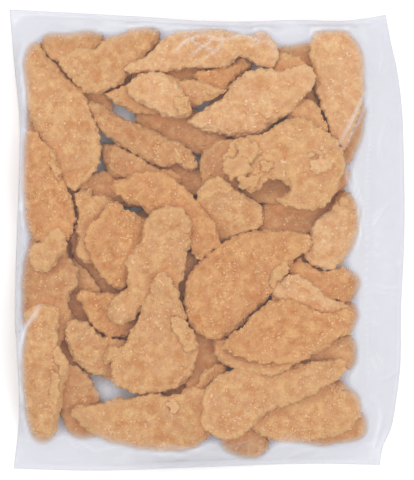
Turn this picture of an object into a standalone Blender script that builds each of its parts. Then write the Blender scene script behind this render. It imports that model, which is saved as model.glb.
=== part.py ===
"""A clear sealed bag of frozen breaded chicken tenders, lying flat on its back.

The bag is one closed solid: the outer form of two sheets of film, welded along a
seal at the top and the bottom and folded at the sides, with the tenders inside.
The tenders are laid out piece by piece, bottom layer first, and each settles on
what lies below it. The upper sheet is then draped over the heap, so that each
tender of the top layers shows as a long rounded hump, and the sheets lie flat on
each other in the empty margins.

Frame: +Z up, the seals at +Y and -Y, origin at the middle of the underside.
The layout is in millimetres and the solid in metres.
"""

from typing import NamedTuple

import bmesh
import bpy
import numpy as np

MM = 0.001

# Corners of the flattened bag, clockwise from the one at -X, +Y.
CORNER_TOP_LEFT = (-158.7, 185.4)
CORNER_TOP_RIGHT = (144.0, 181.2)
CORNER_BOTTOM_RIGHT = (138.9, -180.8)
CORNER_BOTTOM_LEFT = (-155.3, -183.8)

# How far each edge swings out from the straight line between its corners:
# pairs of the share of the edge and the distance, outward positive.
TOP_SWING = ((0, 0), (0.12, -1.5), (0.25, -3.3), (0.38, -5.0), (0.52, -7.4), (0.62, -7.4),
             (0.76, -5.4), (0.89, -5.4), (0.96, -2.4), (1, 0))
RIGHT_SWING = ((0, 0), (0.06, 4.2), (0.12, 9.4), (0.2, 13.6), (0.32, 16.1), (0.5, 17.3),
               (0.66, 15.5), (0.79, 15.3), (0.86, 12.4), (0.92, 8.6), (0.96, 2.5), (1, 0))
BOTTOM_SWING = ((0, 0), (0.22, 2.1), (0.53, 0), (0.83, -1.6), (1, 0))
LEFT_SWING = ((0, 0), (0.11, -3.3), (0.24, -7.3), (0.36, -6.6), (0.5, -4.4), (0.67, -2.4),
              (0.82, -4.6), (0.9, -4.4), (1, 0))

# The welded bands, the height of the rim at the corners and the empty margin, and how
# much higher the heap lifts it in the middle of the other three edges.
TOP_SEAL = 5.5
BOTTOM_SEAL = 5.5
RIM_HEIGHT = 3.0
LEFT_LIFT = 6.5
TOP_LIFT = 6.5
BOTTOM_LIFT = 3.0
EDGE_THICKNESS = 1.2

# The part of the underside that lies on the table: its sides and its corner radius.
REST_LEFT = -139.0
REST_RIGHT = 124.0
REST_BOTTOM = -168.0
REST_TOP = 162.0
REST_CORNER = 25.0

# Curvature that the upper sheet hangs with where nothing holds it up, in 1/mm.
FILM_SLACK = 0.07

# Cells of a sheet's grid across and along the bag, and the step of the heap's grid.
COLUMNS = 56
ROWS = 64
HEAP_STEP = 3.0

# Height of the lower sheet's upper face, which the first tenders lie on.
BED = 0.8


class Limb(NamedTuple):
    """A tapering stretch of meat from one end to the other.

    The spine is bowed sideways by bend, and the width is widest at the share
    a / (a + b) of its length, with a blunt end for a small a or b.
    """

    x1: float
    y1: float
    x2: float
    y2: float
    bend: float
    width: float
    a: float
    b: float


class Tender(NamedTuple):
    """A breaded tender: its name, its thickness, and the limbs that it is made of."""

    name: str
    thickness: float
    limbs: tuple


TENDERS = (
    Tender("fill_top_right", 13, (Limb(0, 98, 68, 120, 0, 34, 0.4, 0.5),)),
    Tender("fill_hook", 13, (Limb(48, 62, 100, 70, 0, 34, 0.4, 0.5),)),
    Tender("fill_centre", 13, (Limb(-50, 26, -22, -30, 0, 32, 0.4, 0.5),)),
    Tender("fill_right", 13, (Limb(16, -40, 74, -12, 0, 36, 0.4, 0.5),)),
    Tender("fill_low_right", 13, (Limb(34, -66, 104, -76, 0, 34, 0.4, 0.5),)),
    Tender("fill_low_mid", 13, (Limb(-66, -74, -20, -104, 0, 36, 0.4, 0.5),)),
    Tender("fill_bottom", 13, (Limb(-78, -148, -10, -146, 0, 32, 0.4, 0.5),)),
    Tender("fill_left", 13, (Limb(-140, 74, -124, 20, 0, 32, 0.4, 0.5),)),
    Tender("fill_left_low", 13, (Limb(-132, -76, -134, -144, 0, 30, 0.4, 0.5),)),
    Tender("fill_bottom_right", 13, (Limb(44, -128, 108, -120, 0, 32, 0.4, 0.5),)),
    Tender("fill_top_left", 13, (Limb(-112, 122, -60, 142, 0, 30, 0.4, 0.5),)),
    Tender("b_upper_mid", 13, (Limb(-46, 96, 8, 78, 0, 30, 0.45, 0.45),)),
    Tender("b_left_mid", 12, (Limb(-94, 42, -50, 34, 0, 22, 0.4, 0.4),)),
    Tender("b_left_centre", 13, (Limb(-102, 6, -78, -46, 0, 32, 0.45, 0.45),)),
    Tender("b_left_low", 13, (Limb(-112, -28, -92, -76, 0, 30, 0.4, 0.4),)),
    Tender("b_left_lower", 12, (Limb(-118, -60, -104, -106, 0, 26, 0.4, 0.4),)),
    Tender("b_corner", 13, (Limb(-113, -98, -94, -155, 3, 38, 0.55, 0.4),)),
    Tender("b_low_mid", 12, (Limb(-70, -126, -26, -116, 0, 24, 0.4, 0.4),)),
    Tender("b_low_centre", 13, (Limb(2, -72, -8, -120, 0, 30, 0.4, 0.4),)),
    Tender("b_right", 13, (Limb(42, 10, 106, 34, 0, 36, 0.4, 0.4),)),
    Tender("b_bay", 12, (Limb(28, 40, 78, 46, 0, 24, 0.4, 0.4),)),
    Tender("b_centre", 12, (Limb(-40, 62, -13, 46, 0, 22, 0.4, 0.4),)),
    Tender("b_left_edge", 13, (Limb(-140, 122, -130, 56, 0, 34, 0.4, 0.4),)),
    Tender("b_top_left", 13, (Limb(-135, 153, -81, 161, 0, 28, 0.3, 0.3),)),
    Tender("b_top_right", 12, (Limb(58, 146, 100, 150, 0, 22, 0.4, 0.4),)),
    Tender("b_right_edge", 13, (Limb(120, 124, 113, 56, 4, 28, 0.4, 0.6),)),
    Tender("b_right_nub", 12, (Limb(98, 38, 121, 53, 0, 18, 0.4, 0.4),)),
    Tender("b_corner_right", 13, (Limb(74, -152, 129, -150, 0, 26, 0.4, 0.35),)),
    Tender("b_bottom_nub", 13, (Limb(34, -120, 30, -176, 0, 42, 0.5, 0.42),)),
    Tender("b_right_low", 12, (Limb(84, -88, 114, -82, 0, 20, 0.4, 0.4),)),
    Tender("m_mid", 13, (Limb(16, 84, 6, 34, 0, 34, 0.4, 0.4),)),
    Tender("m_left_mid", 13, (Limb(-86, 78, -30, 50, -2, 34, 0.45, 0.45),)),
    Tender("m_upper_tip", 12, (Limb(-82, 116, -30, 106, 0, 22, 0.6, 0.4),)),
    Tender("m_upper_right", 13, (Limb(-8, 128, 44, 146, 0, 26, 0.45, 0.5),)),
    Tender("m_wedge", 13, (Limb(72, 114, 94, 84, 2, 30, 0.4, 0.4),)),
    Tender("m_top_right", 12, (Limb(50, 128, 80, 146, 0, 24, 0.4, 0.4),)),
    Tender("m_left_low", 14, (Limb(-124, 6, -128, -86, 0, 44, 0.45, 0.45),)),
    Tender("m_left_knobby", 13, (
        Limb(-96, 42, -92, -24, 0, 34, 0.4, 0.4),
        Limb(-92, 30, -74, 26, 0, 22, 0.4, 0.4),
        Limb(-106, 32, -90, 38, 0, 16, 0.4, 0.4),
    )),
    Tender("m_low_left", 14, (Limb(-105, -42, -56, -74, 2, 31, 0.35, 0.45),)),
    Tender("m_lower_left", 14, (
        Limb(-112, -68, -74, -108, 0, 34, 0.4, 0.5),
        Limb(-112, -67, -93, -68, 0, 12, 0.4, 0.4),
    )),
    Tender("m_flap", 10, (Limb(-86, -74, -46, -88, 0, 24, 0.4, 0.4),)),
    Tender("m_ridge", 12, (Limb(-20, -124, 18, -102, 0, 22, 0.4, 0.4),)),
    Tender("m_right_low", 13, (Limb(60, -98, 119, -95, 0, 22, 0.4, 0.4),)),
    Tender("m_centre", 15, (Limb(-12, 38, 43, 12, 0, 42, 0.35, 0.35),)),
    Tender("m_top_left", 15, (
        Limb(-114, 130, -38, 165, -3, 38, 0.35, 0.45),
        Limb(-117, 146, -90, 150, 0, 16, 0.4, 0.4),
    )),
    Tender("m_right_fold", 11, (Limb(86, -52, 124, -62, 2, 20, 0.4, 0.4),)),
    Tender("upper_left", 14, (Limb(-96, 108, -8, 62, -2, 28, 0.5, 0.35),)),
    Tender("upper_small", 13, (Limb(-27, 128, 18, 116, 0, 26, 0.35, 0.5),)),
    Tender("upper_mid", 14, (Limb(-64, 128, -13, 106, 0, 32, 0.35, 0.4),)),
    Tender("arc", 14, (
        Limb(-77, 42, -4, 14, 9, 31, 0.45, 0.35),
        Limb(-20, 34, -4, -18, 4, 30, 0.4, 0.4),
    )),
    Tender("centre_left", 14, (
        Limb(-75, 32, -69, -41, -2, 46, 0.5, 0.7),
        Limb(-70, 14, -46, 16, 0, 20, 0.4, 0.4),
    )),
    Tender("right", 15, (Limb(112, 35, 92, -25, 2, 40, 0.4, 0.4),)),
    Tender("right_knobby", 13, (Limb(66, -16, 125, -38, 0, 28, 0.5, 0.35),)),
    Tender("right_finger", 12, (Limb(52, -40, 100, -54, 3, 30, 0.45, 0.4),)),
    Tender("bottom_right", 15, (Limb(34, -150, 124, -132, 0, 44, 0.6, 0.35),)),
    Tender("left_long", 15, (Limb(-139, 159, -103, 37, 8, 46, 0.45, 0.6),)),
    Tender("left_bottom", 15, (
        Limb(-134, -56, -133, -165, 2, 40, 0.4, 0.45),
        Limb(-145, -62, -117, -61, 0, 21, 0.4, 0.4),
    )),
    Tender("bottom_long", 15, (
        Limb(-111, -137, 14, -146, -6, 49, 0.75, 0.4),
        Limb(-20, -122, -2, -118, 0, 14, 0.4, 0.4),
    )),
    Tender("right_upright", 15, (Limb(100, 169, 102, 73, 4, 45, 0.38, 0.8),)),
    Tender("hook", 14, (
        Limb(11, 62, 110, 60, 10, 46, 0.4, 0.4),
        Limb(22, 64, 35, 38, 0, 24, 0.4, 0.4),
        Limb(108, 66, 55, 32, 9, 30, 0.35, 0.8),
    )),
    Tender("top_long", 14, (
        Limb(-66, 137, 50, 155, 6, 32, 0.7, 0.45),
        Limb(44, 165, 49, 136, 0, 18, 0.4, 0.4),
    )),
    Tender("upper_right", 15, (
        Limb(-15, 93, 87, 131, -3, 48, 1.0, 0.8),
        Limb(64, 127, 88, 131, 0, 20, 0.4, 0.4),
    )),
    Tender("centre", 15, (
        Limb(-28, 28, -58, -44, 4, 46, 0.38, 0.55),
        Limb(-54, -42, -79, -62, 0, 27, 0.4, 0.4),
    )),
    Tender("low_centre", 15, (
        Limb(-35, -26, -46, -122, 3, 62, 1.0, 0.35),
        Limb(-66, -87, -83, -96, 0, 10, 0.4, 0.4),
    )),
    Tender("bottom_mid", 15, (
        Limb(-4, -138, 111, -99, -2, 31, 0.35, 0.4),
        Limb(-3, -140, 44, -124, 0, 50, 0.4, 0.6),
    )),
    Tender("low_rim", 11, (Limb(6, -86, 70, -98, 0, 28, 0.4, 0.4),)),
    Tender("low_right", 15, (
        Limb(11, -83, 120, -62, 0, 48, 0.7, 0.9),
        Limb(98, -66, 121, -62, 0, 20, 0.4, 0.4),
    )),
    Tender("centre_right", 16, (Limb(-15, -66, 83, -2, 8, 56, 0.3, 0.65),)),
    Tender("left_mid", 15, (Limb(-144, 87, -124, -5, 4, 43, 0.5, 0.4),)),
    Tender("left_nub", 12, (Limb(-141, -20, -113, 8, -4, 27, 0.45, 0.5),)),
)


def swing(pairs: tuple, share: np.ndarray) -> np.ndarray:
    """Read a smooth curve through (share, distance) pairs at the given shares."""
    at = np.array([pair[0] for pair in pairs], dtype=float)
    value = np.array([pair[1] for pair in pairs], dtype=float)
    slope = np.gradient(value, at)
    index = np.clip(np.searchsorted(at, share, side="right") - 1, 0, len(at) - 2)
    span = at[index + 1] - at[index]
    t = (share - at[index]) / span
    leaving = value[index] * (1 + 2 * t) * (1 - t) ** 2 + span * slope[index] * t * (1 - t) ** 2
    arriving = value[index + 1] * t * t * (3 - 2 * t) - span * slope[index + 1] * t * t * (1 - t)
    return leaving + arriving


def edge(start: tuple, end: tuple, outward: tuple, pairs: tuple, share: np.ndarray) -> np.ndarray:
    """Points along one edge of the bag, at the given shares of its length."""
    straight = np.array(start) + share[:, None] * (np.array(end) - np.array(start))
    return straight + swing(pairs, share)[:, None] * np.array(outward)


def film_plan() -> np.ndarray:
    """Lay the grid of a sheet out flat between the four edges, centred on the origin."""
    length = CORNER_TOP_LEFT[1] - CORNER_BOTTOM_LEFT[1]
    u = np.linspace(0.0, 1.0, COLUMNS + 1)
    between = np.linspace(BOTTOM_SEAL / length, 1.0 - TOP_SEAL / length, ROWS - 1)
    v = np.concatenate(([0.0], between, [1.0]))
    top = edge(CORNER_TOP_LEFT, CORNER_TOP_RIGHT, (0, 1), TOP_SWING, u)
    bottom = edge(CORNER_BOTTOM_LEFT, CORNER_BOTTOM_RIGHT, (0, -1), BOTTOM_SWING, u)
    left = edge(CORNER_TOP_LEFT, CORNER_BOTTOM_LEFT, (-1, 0), LEFT_SWING, 1.0 - v)
    right = edge(CORNER_TOP_RIGHT, CORNER_BOTTOM_RIGHT, (1, 0), RIGHT_SWING, 1.0 - v)
    across = u[None, :, None]
    up = v[:, None, None]
    ruled = (1 - up) * bottom[None] + up * top[None] + (1 - across) * left[:, None] + across * right[:, None]
    corners = ((1 - up) * ((1 - across) * bottom[0] + across * bottom[-1])
               + up * ((1 - across) * top[0] + across * top[-1]))
    plan = ruled - corners
    low = plan.reshape(-1, 2).min(axis=0)
    high = plan.reshape(-1, 2).max(axis=0)
    return plan - (low + high) / 2


def limb_profile(limb: Limb, x: np.ndarray, y: np.ndarray) -> np.ndarray:
    """Share of the full thickness that a limb has at each point, 0 outside it."""
    along = np.array((limb.x2 - limb.x1, limb.y2 - limb.y1))
    length = np.hypot(along[0], along[1])
    unit = along / length
    s = ((x - limb.x1) * unit[0] + (y - limb.y1) * unit[1]) / length
    side = (y - limb.y1) * unit[0] - (x - limb.x1) * unit[1]
    s_in = np.clip(s, 0.0, 1.0)
    peak = limb.a / (limb.a + limb.b)
    shape = s_in ** limb.a * (1 - s_in) ** limb.b / (peak ** limb.a * (1 - peak) ** limb.b)
    offset = side - 4 * limb.bend * s_in * (1 - s_in)
    q = offset / np.maximum(limb.width / 2 * shape, 0.01)
    return np.sqrt(np.clip(1 - q * q, 0, 1)) * np.sqrt(shape)


def tender_profile(tender: Tender, x: np.ndarray, y: np.ndarray) -> np.ndarray:
    """Half the height of a tender over each point, 0 outside it."""
    shares = [limb_profile(limb, x, y) for limb in tender.limbs]
    return tender.thickness / 2 * np.maximum.reduce(shares)


def settle(tender: Tender, x: np.ndarray, y: np.ndarray, heap: np.ndarray) -> np.ndarray:
    """Rest a tender on the heap, tilted and slightly bowed, and give its top surface."""
    half = tender_profile(tender, x, y)
    inside = half > 0.05 * tender.thickness
    first = tender.limbs[0]
    centre = np.array(((first.x1 + first.x2) / 2, (first.y1 + first.y2) / 2))
    along = np.array((first.x2 - first.x1, first.y2 - first.y1))
    length = np.hypot(along[0], along[1])
    axis = along / length
    reach = ((x[inside] - centre[0]) * axis[0] + (y[inside] - centre[1]) * axis[1]) / (length / 2)
    cross = ((y[inside] - centre[1]) * axis[0] - (x[inside] - centre[0]) * axis[1]) / (length / 2)
    terms = np.stack((np.ones_like(reach), reach, cross, reach * reach), axis=1)
    needed = heap[inside] + half[inside]
    stiffness = np.diag((0.0, 0.4, 1.6, 1.2)) * len(reach) * 0.02
    weight = np.ones_like(needed)
    for _ in range(24):
        left = terms.T @ (weight[:, None] * terms) + stiffness
        solution = np.linalg.solve(left, terms.T @ (weight * needed))
        sunk = needed - terms @ solution
        weight = np.where(sunk > 0, 1.0, 0.02)
    top = np.zeros_like(heap)
    top[inside] = terms @ solution + half[inside]
    return top


def heap_surface() -> tuple:
    """Stack the tenders and give the heap's x, y, top height and footprint."""
    reach_x = 162.0
    reach_y = 189.0
    x_line = np.arange(-reach_x, reach_x + 0.1, HEAP_STEP)
    y_line = np.arange(-reach_y, reach_y + 0.1, HEAP_STEP)
    x, y = np.meshgrid(x_line, y_line)
    heap = np.full_like(x, BED)
    for tender in TENDERS:
        heap = np.maximum(heap, settle(tender, x, y, heap))
    return x_line, y_line, heap


def sample(x_line: np.ndarray, y_line: np.ndarray, field: np.ndarray, plan: np.ndarray) -> np.ndarray:
    """Read a gridded field at the plan's points, linearly between its nodes."""
    column = (plan[..., 0] - x_line[0]) / HEAP_STEP
    row = (plan[..., 1] - y_line[0]) / HEAP_STEP
    i = np.clip(row.astype(int), 0, len(y_line) - 2)
    j = np.clip(column.astype(int), 0, len(x_line) - 2)
    fy = np.clip(row - i, 0, 1)
    fx = np.clip(column - j, 0, 1)
    near = field[i, j] * (1 - fx) + field[i, j + 1] * fx
    far = field[i + 1, j] * (1 - fx) + field[i + 1, j + 1] * fx
    return near * (1 - fy) + far * fy


def drape(floor: np.ndarray, fixed: np.ndarray, start: np.ndarray, slack: float) -> np.ndarray:
    """Let a sheet hang over a floor, held where fixed is true."""
    z = np.maximum(start, floor)
    z[fixed] = start[fixed]
    rows, columns = np.indices(z.shape)
    inner = (rows > 0) & (rows < z.shape[0] - 1) & (columns > 0) & (columns < z.shape[1] - 1)
    free = inner & ~fixed
    spacing = (CORNER_TOP_LEFT[1] - CORNER_BOTTOM_LEFT[1]) / ROWS
    for _ in range(500):
        for parity in (0, 1):
            turn = free & ((rows + columns) % 2 == parity)
            mean = (np.roll(z, 1, 0) + np.roll(z, -1, 0) + np.roll(z, 1, 1) + np.roll(z, -1, 1)) / 4
            moved = z + 1.6 * (mean - slack * spacing * spacing / 4 - z)
            z = np.where(turn, np.maximum(moved, floor), z)
    return z


def resting(plan: np.ndarray) -> np.ndarray:
    """Tell which points of the plan lie on the table: a rectangle with rounded corners."""
    beyond_x = np.maximum(REST_LEFT + REST_CORNER - plan[..., 0], plan[..., 0] - REST_RIGHT + REST_CORNER)
    beyond_y = np.maximum(REST_BOTTOM + REST_CORNER - plan[..., 1], plan[..., 1] - REST_TOP + REST_CORNER)
    return np.hypot(np.maximum(beyond_x, 0), np.maximum(beyond_y, 0)) <= REST_CORNER


def rim_height(u: np.ndarray, v: np.ndarray) -> np.ndarray:
    """Height of the bag's rim, lifted where the tenders press against it."""
    across = np.sin(np.pi * u) ** 0.7
    along = np.sin(np.pi * v) ** 0.7
    left = LEFT_LIFT * along * (u == 0)
    top = TOP_LIFT * across * (v >= 1 - 1.5 / ROWS)
    bottom = BOTTOM_LIFT * across * (v <= 1.5 / ROWS)
    return RIM_HEIGHT + left + top + bottom


def bag_heights() -> tuple:
    """Work out the plan of the sheets and the heights of the upper and the lower one."""
    plan = film_plan()
    x_line, y_line, heap = heap_surface()
    over = sample(x_line, y_line, heap, plan)
    rows, columns = np.indices(over.shape)
    rim = (rows <= 1) | (rows >= ROWS - 1) | (columns == 0) | (columns == COLUMNS)
    middle = rim_height(columns / COLUMNS, rows / ROWS)
    grounded = resting(plan)
    start = np.where(grounded, 0.0, np.where(rim, middle, RIM_HEIGHT))
    lower = drape(np.zeros_like(over), rim | grounded, start, 0.0)
    lower = np.maximum(lower - np.where(rim, EDGE_THICKNESS / 2, 0.0), 0.0)
    floor = np.maximum(np.where(over > BED + 4.0, over + 0.5, 0.0), lower + EDGE_THICKNESS)
    upper = drape(floor, rim, middle + EDGE_THICKNESS / 2, FILM_SLACK)
    return plan, upper, lower


def sheet(bm: bmesh.types.BMesh, plan: np.ndarray, height: np.ndarray) -> list:
    """Add one sheet to the mesh as a grid, and return its vertices."""
    made = bmesh.ops.create_grid(bm, x_segments=COLUMNS, y_segments=ROWS, size=1.0)["verts"]
    for vertex in made:
        column = round((vertex.co.x + 1) / 2 * COLUMNS)
        row = round((vertex.co.y + 1) / 2 * ROWS)
        vertex.co = (plan[row, column, 0] * MM, plan[row, column, 1] * MM, height[row, column] * MM)
    return made


def film_material() -> bpy.types.Material:
    """Clear film with the golden breading showing through it."""
    material = bpy.data.materials.new("film")
    material.use_nodes = True
    shader = material.node_tree.nodes["Principled BSDF"]
    shader.inputs["Base Color"].default_value = (0.66, 0.40, 0.21, 1.0)
    shader.inputs["Roughness"].default_value = 0.35
    shader.inputs["Metallic"].default_value = 0.0
    material.diffuse_color = (0.66, 0.40, 0.21, 1.0)
    return material


def build_bag(collection: bpy.types.Collection) -> bpy.types.Object:
    """Close the two sheets along their rims into the bag's solid."""
    plan, upper, lower = bag_heights()
    bm = bmesh.new()
    under = sheet(bm, plan, lower)
    bmesh.ops.reverse_faces(bm, faces=list({face for vertex in under for face in vertex.link_faces}))
    sheet(bm, plan, upper)
    rims = [border for border in bm.edges if border.is_boundary]
    bmesh.ops.bridge_loops(bm, edges=rims)
    ground = [face for face in bm.faces if max(vertex.co.z for vertex in face.verts) < 1e-6]
    flat_edges = [line for line in bm.edges if all(face in ground for face in line.link_faces)]
    bmesh.ops.dissolve_edges(bm, edges=flat_edges, use_verts=True, use_face_split=False)
    bmesh.ops.triangulate(bm, faces=bm.faces[:])
    bmesh.ops.recalc_face_normals(bm, faces=bm.faces[:])
    mesh = bpy.data.meshes.new("bag")
    bm.to_mesh(mesh)
    bm.free()
    mesh.materials.append(film_material())
    bag = bpy.data.objects.new("bag", mesh)
    collection.objects.link(bag)
    return bag


def main() -> None:
    """Clear the scene and model the bag in its own collection."""
    for leftover in list(bpy.data.objects):
        bpy.data.objects.remove(leftover, do_unlink=True)
    collection = bpy.data.collections.new("chicken_tenders_bag")
    bpy.context.scene.collection.children.link(collection)
    bag = build_bag(collection)
    for polygon in bag.data.polygons:
        polygon.use_smooth = True


if __name__ == "__main__":
    main()
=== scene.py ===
"""A clear sealed bag of frozen breaded chicken tenders, lying flat and seen from above.

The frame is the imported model: one closed solid out to the film's outer form. This
script puts the real things in its place: each tender as a lumpy breaded piece that
rests on the ones below it, and the clear film that is welded round them.

Frame: metres, +Z up, the welded ends at +Y and -Y, origin at the middle of the
underside. The layout is given in millimetres, and an outline that the photograph
shows is given in its pixels, as it was read there.
"""

from __future__ import annotations

import logging
import math
import random
from dataclasses import dataclass
from dataclasses import field
from enum import Enum
from typing import Any
from typing import NamedTuple

import bpy
import numpy as np
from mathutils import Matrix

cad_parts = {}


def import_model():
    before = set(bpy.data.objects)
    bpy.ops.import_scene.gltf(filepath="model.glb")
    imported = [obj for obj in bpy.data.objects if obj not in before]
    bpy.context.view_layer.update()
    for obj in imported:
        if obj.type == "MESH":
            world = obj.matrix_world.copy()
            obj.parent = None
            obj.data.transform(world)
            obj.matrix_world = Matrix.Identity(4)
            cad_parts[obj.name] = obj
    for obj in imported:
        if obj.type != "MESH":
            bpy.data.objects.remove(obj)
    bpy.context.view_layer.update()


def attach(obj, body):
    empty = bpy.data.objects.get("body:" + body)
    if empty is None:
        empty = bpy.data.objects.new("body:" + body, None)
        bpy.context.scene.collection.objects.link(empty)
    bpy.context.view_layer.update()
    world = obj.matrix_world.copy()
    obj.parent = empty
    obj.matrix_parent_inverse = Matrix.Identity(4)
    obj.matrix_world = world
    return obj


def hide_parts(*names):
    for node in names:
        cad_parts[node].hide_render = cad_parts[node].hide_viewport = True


LOG = logging.getLogger("chicken_tenders")
MM = 0.001

# The real length of a plain tender, its length in pixels of the photograph, and the
# pixel at the bag's middle.
TENDER_LENGTH = 120.0
TENDER_PIXELS = 150
MM_PER_PIXEL = TENDER_LENGTH / TENDER_PIXELS
PHOTO_MIDDLE = (207, 240)

# The longest side of a crag that gets no point in its middle, and how far the crag's
# points may be moved in and out, in millimetres.
LONG_SIDE = 4.5
ROUGHNESS = (-1.5, 1.3)

# The lower corner and the size of the grids of heights, in millimetres.
FIELD_CORNER = (-168.0, -195.0)
FIELD_SIZE = (336, 390)

# How milky loose film is where it lies level, against 1 where it is steep.
FLAT_MILKINESS = 0.7


class Crust(Enum):
    """How the frying left a tender's breading; the toasted one also paints the shade on the tenders deep in
    the heap.
    """

    GOLDEN = "golden"
    # Partly a real toasted tone, partly painted shade for the tenders deep in the heap.
    TOASTED_AND_SHADED = "toasted_and_shaded"
    AMBER = "amber"
    PALE = "pale"
    ROSY = "rosy"


class Tender(NamedTuple):
    """A breaded tender: its name, thickness, crust and outline, in millimetres."""

    name: str
    thickness: float
    crust: Crust
    outline: tuple[tuple[float, float], ...]


def spindle(x1: float, y1: float, x2: float, y2: float, bend: float, width: float,
            a: float, b: float) -> tuple[tuple[float, float], ...]:
    """Draw the outline of a plain tapering tender from one end to the other.

    Args:
        x1: First end, across the bag.
        y1: First end, along the bag.
        x2: Second end, across the bag.
        y2: Second end, along the bag.
        bend: How far the middle is bowed sideways.
        width: Width at the widest place, the share a / (a + b) of the length.
        a: Sharpness of the first end, blunt for a small number.
        b: Sharpness of the second end.

    Returns:
        The outline's points.
    """
    length = math.hypot(x2 - x1, y2 - y1)
    unit = ((x2 - x1) / length, (y2 - y1) / length)
    peak = a / (a + b)
    points = []
    for side, order in ((1, range(1, 9)), (-1, range(8, 0, -1))):
        if side == 1:
            points.append((x1, y1))
        else:
            points.append((x2, y2))
        for index in order:
            s = 0.5 - 0.5 * math.cos(math.pi * index / 9)
            half = width / 2 * s ** a * (1 - s) ** b / (peak ** a * (1 - peak) ** b)
            out = side * half + 4 * bend * s * (1 - s)
            points.append((x1 + unit[0] * s * length - unit[1] * out,
                           y1 + unit[1] * s * length + unit[0] * out))
    return tuple(points)


def placed(pixel: tuple[int, int]) -> tuple[float, float]:
    """Turn a pixel of the photograph into millimetres from the bag's middle."""
    return (pixel[0] - PHOTO_MIDDLE[0]) * MM_PER_PIXEL, (PHOTO_MIDDLE[1] - pixel[1]) * MM_PER_PIXEL


def shown(*pixels: tuple[int, int]) -> tuple[tuple[float, float], ...]:
    """Turn an outline that the photograph shows into whole millimetres.

    Args:
        pixels: The outline's points in the photograph.

    Returns:
        The outline's points, from the bag's middle.
    """
    return tuple((round(x), round(y)) for x, y in map(placed, pixels))


def crag(name: str, thickness: float, crust: Crust, *pixels: tuple[int, int]) -> Tender:
    """Make a crag of breading, its outline roughened by chance.

    Each long side gets a point in its middle, and every point is then moved out from
    the crag's middle or in towards it. The name seeds the draws, so they repeat.

    Args:
        name: The crag's name.
        thickness: Its thickness.
        crust: Its crust.
        pixels: Its outline's points in the photograph.

    Returns:
        The crag, to the nearest half millimetre.
    """
    full_name = "crag_" + name
    chance = random.Random(full_name)
    ends = [placed(pixel) for pixel in pixels]
    middle_x = sum(x for x, _ in ends) / len(ends)
    middle_y = sum(y for _, y in ends) / len(ends)
    outline = []
    for start, end in zip(ends, ends[1:] + ends[:1]):
        parts = 2 if math.hypot(end[0] - start[0], end[1] - start[1]) > LONG_SIDE else 1
        for part in range(parts):
            x = start[0] + (end[0] - start[0]) * part / parts
            y = start[1] + (end[1] - start[1]) * part / parts
            reach = math.hypot(x - middle_x, y - middle_y)
            push = chance.uniform(*ROUGHNESS)
            outline.append((round(2 * (x + (x - middle_x) / reach * push)) / 2,
                            round(2 * (y + (y - middle_y) / reach * push)) / 2))
    return Tender(full_name, thickness, crust, tuple(outline))


GOLDEN = Crust.GOLDEN
TOASTED_AND_SHADED = Crust.TOASTED_AND_SHADED
AMBER = Crust.AMBER
PALE = Crust.PALE
ROSY = Crust.ROSY
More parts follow.
